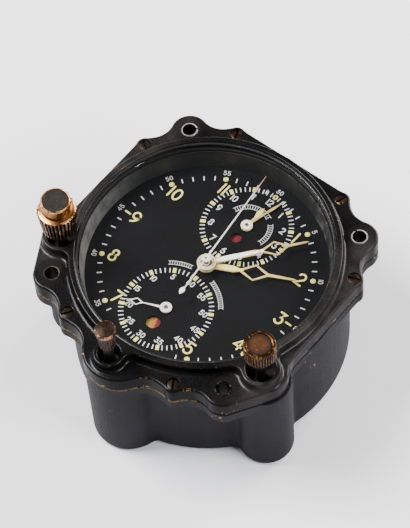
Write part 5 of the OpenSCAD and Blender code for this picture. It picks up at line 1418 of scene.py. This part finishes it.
# %% Winding knob
WIND_AT = on_circle(42, 210)
WINDING = ("winding_knob", "wind_knob", WIND_AT)
WIND_CORE = [(1.52, 48.5), (4.0, 48.5), (4.35, 48.8), (5.05, 57.0), (5.05, 57.3), (1.52, 57.3)]
WIND_COLLAR = [(1.6, 57.0), (5.3, 57.0), (5.5, 57.2), (5.5, 57.4), (5.38, 57.5), (4.55, 57.6), (4.3, 57.75),
               (4.26, 58.1), (4.4, 58.8), (4.45, 59.4), (4.45, 61.4), (4.4, 61.75), (4.26, 62.0), (4.08, 62.1),
               (3.94, 62.04), (3.88, 61.9), (3.86, 61.3), (1.6, 61.3)]
WIND_RIB = [(0.0, 0.2), (0.6, 0.5), (8.1, 1.22), (8.6, 1.26), (8.92, 1.05)]
core("winding_core", WINDING, "copper_gilt", knurl_shadow, WIND_CORE)
core("winding_collar", WINDING, "copper_gilt", gilding_metal, WIND_COLLAR)
knurl("winding_ribs", WINDING, "copper_gilt", worn_knurl, 32, 4.6, WIND_RIB, 0.45, 48.55, 3)
inlay("winding_disc", ("winding_inlay", "wind_knob", WIND_AT), "dark_inlay", wind_disc, 3.84, (0.1, 0.12))

# %% Amber lacquer of the start button
# Clear brown lacquer over copper: amber in the middle, darker towards the rim.
amber_lacquer = surface("amber_lacquer", "#331c0b", "#45250c", 2.6, (0.35, 0.55), 0.3, 0.01, 0.1,
                        speck="#5a3814", speck_mm=0.6, speck_share=0.25, Specular_IOR_Level=0.2)
START_AT = on_circle(42.7, 330)
DARK_FROM, DARK_FULL = 1.9 * MM, 3.1 * MM
amber_tree = amber_lacquer.node_tree
off_middle = distance_from_axis(amber_tree, START_AT)
dark_rim = add(amber_tree, "ShaderNodeMapRange", [off_middle, DARK_FROM, DARK_FULL]).outputs[0]
tinted(amber_lacquer, dark_rim, "#1c130a")
print("amber darkens from", DARK_FROM / MM, "mm")

# %% Start button
START = ("start_button", "start_push", START_AT)
START_CORE = [(1.52, 52.0), (3.8, 52.0), (4.0, 52.2), (4.0, 57.4), (1.52, 57.4)]
START_RIM = [(1.6, 56.5), (4.34, 56.5), (4.5, 57.2), (4.52, 57.45), (4.4, 57.7), (4.15, 57.8), (3.7, 57.78),
             (3.5, 57.65), (3.42, 57.4), (3.42, 57.0), (1.6, 57.0)]
START_RIB = [(0.0, 0.1), (0.5, 0.34), (4.9, 0.4), (5.4, 0.36), (5.62, 0.2)]
core("start_core", START, "amber_inlay", knurl_shadow, START_CORE)
core("start_rim", START, "amber_inlay", aged_gilding_metal, START_RIM)
knurl("start_ribs", START, "amber_inlay", aged_gilding_metal, 36, 4.28, START_RIB, 0.38, 52.05, 5)
inlay("start_disc", ("start_inlay", "start_push", START_AT), "amber_inlay", amber_lacquer, 3.39, (0.09, 0.1))

# %% Elapsed-time button
# Painted shade in the grooves, over tarnish: black with a trace of metal.
copper_shadow = surface("copper_shadow", "#0a0604", "#140c08", 1.5, (0.45, 0.65), 0.3, 0.02, 0.4)
# Dark copper of the ribs, rubbed to a dull pink on the crests.
dark_copper = surface("dark_copper", "#120a07", "#241610", 1.2, (0.4, 0.6), 0.3, 0.012, 0.7,
                      worn="#6a4836", worn_share=0.35, worn_mm=0.7)
ELAPSED = ("elapsed_button", "elapsed_push", (0.0, -43 * MM))
ELAPSED_CORE = [(0, 48.7), (1.62, 48.7), (2.1, 48.9), (2.7, 56.1), (0, 56.1)]
ELAPSED_CAP = [(0, 55.8), (2.7, 55.8), (2.95, 56.0), (3.0, 56.9), (2.86, 57.22), (2.5, 57.38), (1.6, 57.6),
               (0.8, 57.72), (0, 57.76)]
ELAPSED_RIB = [(0.0, 0.3), (0.4, 0.55), (6.9, 1.05), (7.4, 1.2), (8.1, 1.3), (8.4, 1.15)]
core("elapsed_core", ELAPSED, "copper_gilt", copper_shadow, ELAPSED_CORE)
core("elapsed_cap", ELAPSED, "copper_gilt", red_copper, ELAPSED_CAP)
knurl("elapsed_ribs", ELAPSED, "copper_gilt", dark_copper, 24, 1.78, ELAPSED_RIB, 0.3, 48.75, 7)

# %% [markdown]
# ## Everything else
# The movement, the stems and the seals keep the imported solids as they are: their shapes are exact and
# no photograph shows more. Each still gets the finish of its real metal, by one table, so that an
# opened or exported clock looks right inside.

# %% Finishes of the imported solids
# Dial lacquer: matt black with a very fine, hardly lighter speckle.
dial_black = surface("dial_black", "#060607", "#0a0a0c", 14, (0.5, 0.68), 0.35, 0.012,
                     speck="#121214", speck_mm=0.35, speck_share=0.42, Specular_IOR_Level=0.08)
# Oxidised brass of stems and bushes: brown-black.
oxidised_brass = surface("oxidised_brass", "#0a0705", "#140e09", 1.5, (0.4, 0.6), 0.25, 0.01, 0.5)
# Gilt and frosted plates: pale gold, with a soft shine.
gilt_plate = surface("gilt_plate", "#b49a5c", "#c4aa6c", 5, (0.3, 0.45), 0.25, 0.006, 1.0)
# Synthetic ruby: deep red under a polish.
ruby = surface("ruby", "#8a1030", "#a01838", 1, (0.08, 0.15), 0.2, 0.0, coat=0.5)
FINISHES = {
    "seal_rubber": (seal_rubber, ["case_gasket"]),
    "dial_paint": (dial_black, ["dial"]),
    "flag_red": (flag_red, ["elapsed_flag"]),
    "flag_two_tone": (flag_two_tone, ["total_flag"]),
    "bush_bronze": (oxidised_brass, ["control_bushes"]),
    "brass": (gilt_plate, ["main_plate", "back_plate", "pillars", "barrel", "balance_cock"]),
    "steel": (dull_steel, [
        "winding_pinion", "crown_wheel", "start_lever", "elapsed_lever", "movement_screws", "barrel_arbor",
        "ratchet_wheel", "click", "pallet_fork", "cannon_pinion", "chrono_arbor", "total_arbor",
        "elapsed_arbor"]),
    "blued_steel": (blued_spring_steel, ["mainspring", "hairspring", "start_spring", "elapsed_spring"]),
    "jewel": (ruby, ["train_jewels"]),
}
WHEELS = ["centre_wheel", "third_wheel", "fourth_wheel", "escape_wheel", "balance_wheel", "minute_wheel",
          "hour_wheel", "elapsed_hour_wheel", "elapsed_motion_wheel"]
STEMS = ["winding_stem", "start_stem", "elapsed_stem"]
finished = [(slot_name, material, names) for slot_name, (material, names) in FINISHES.items()]
finished += [("brass", gear_brass, WHEELS), ("copper_gilt", oxidised_brass, STEMS)]
for slot_name, material, names in finished:
    for name in names:
        nodes[name].data.materials.clear()
        nodes[name].data.materials.append(material)
    print(slot_name, "on", len(names), "solids")

# %% [markdown]
# ## Return springs
# The coil under each button's collar shortens when the button goes in. A merged copy of the imported coil,
# fixed to the case, stands for it.

# %% Coils of the buttons
MERGE_WITHIN = 0.001 * MM
for button in ("start", "elapsed"):
    node_name = button + "_spring"
    coil_mesh = nodes[node_name].data.copy()
    bm = bmesh.new()
    bm.from_mesh(coil_mesh)
    bmesh.ops.remove_doubles(bm, verts=bm.verts, dist=MERGE_WITHIN)
    bm.to_mesh(coil_mesh)
    bm.free()
    coil = bpy.data.objects.new(button + "_return_coil", coil_mesh)
    bpy.context.scene.collection.objects.link(coil)
    place(finish_surface(coil), "case", "blued_steel", blued_spring_steel, node_name)
    low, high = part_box(node_name)
    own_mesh(coil)
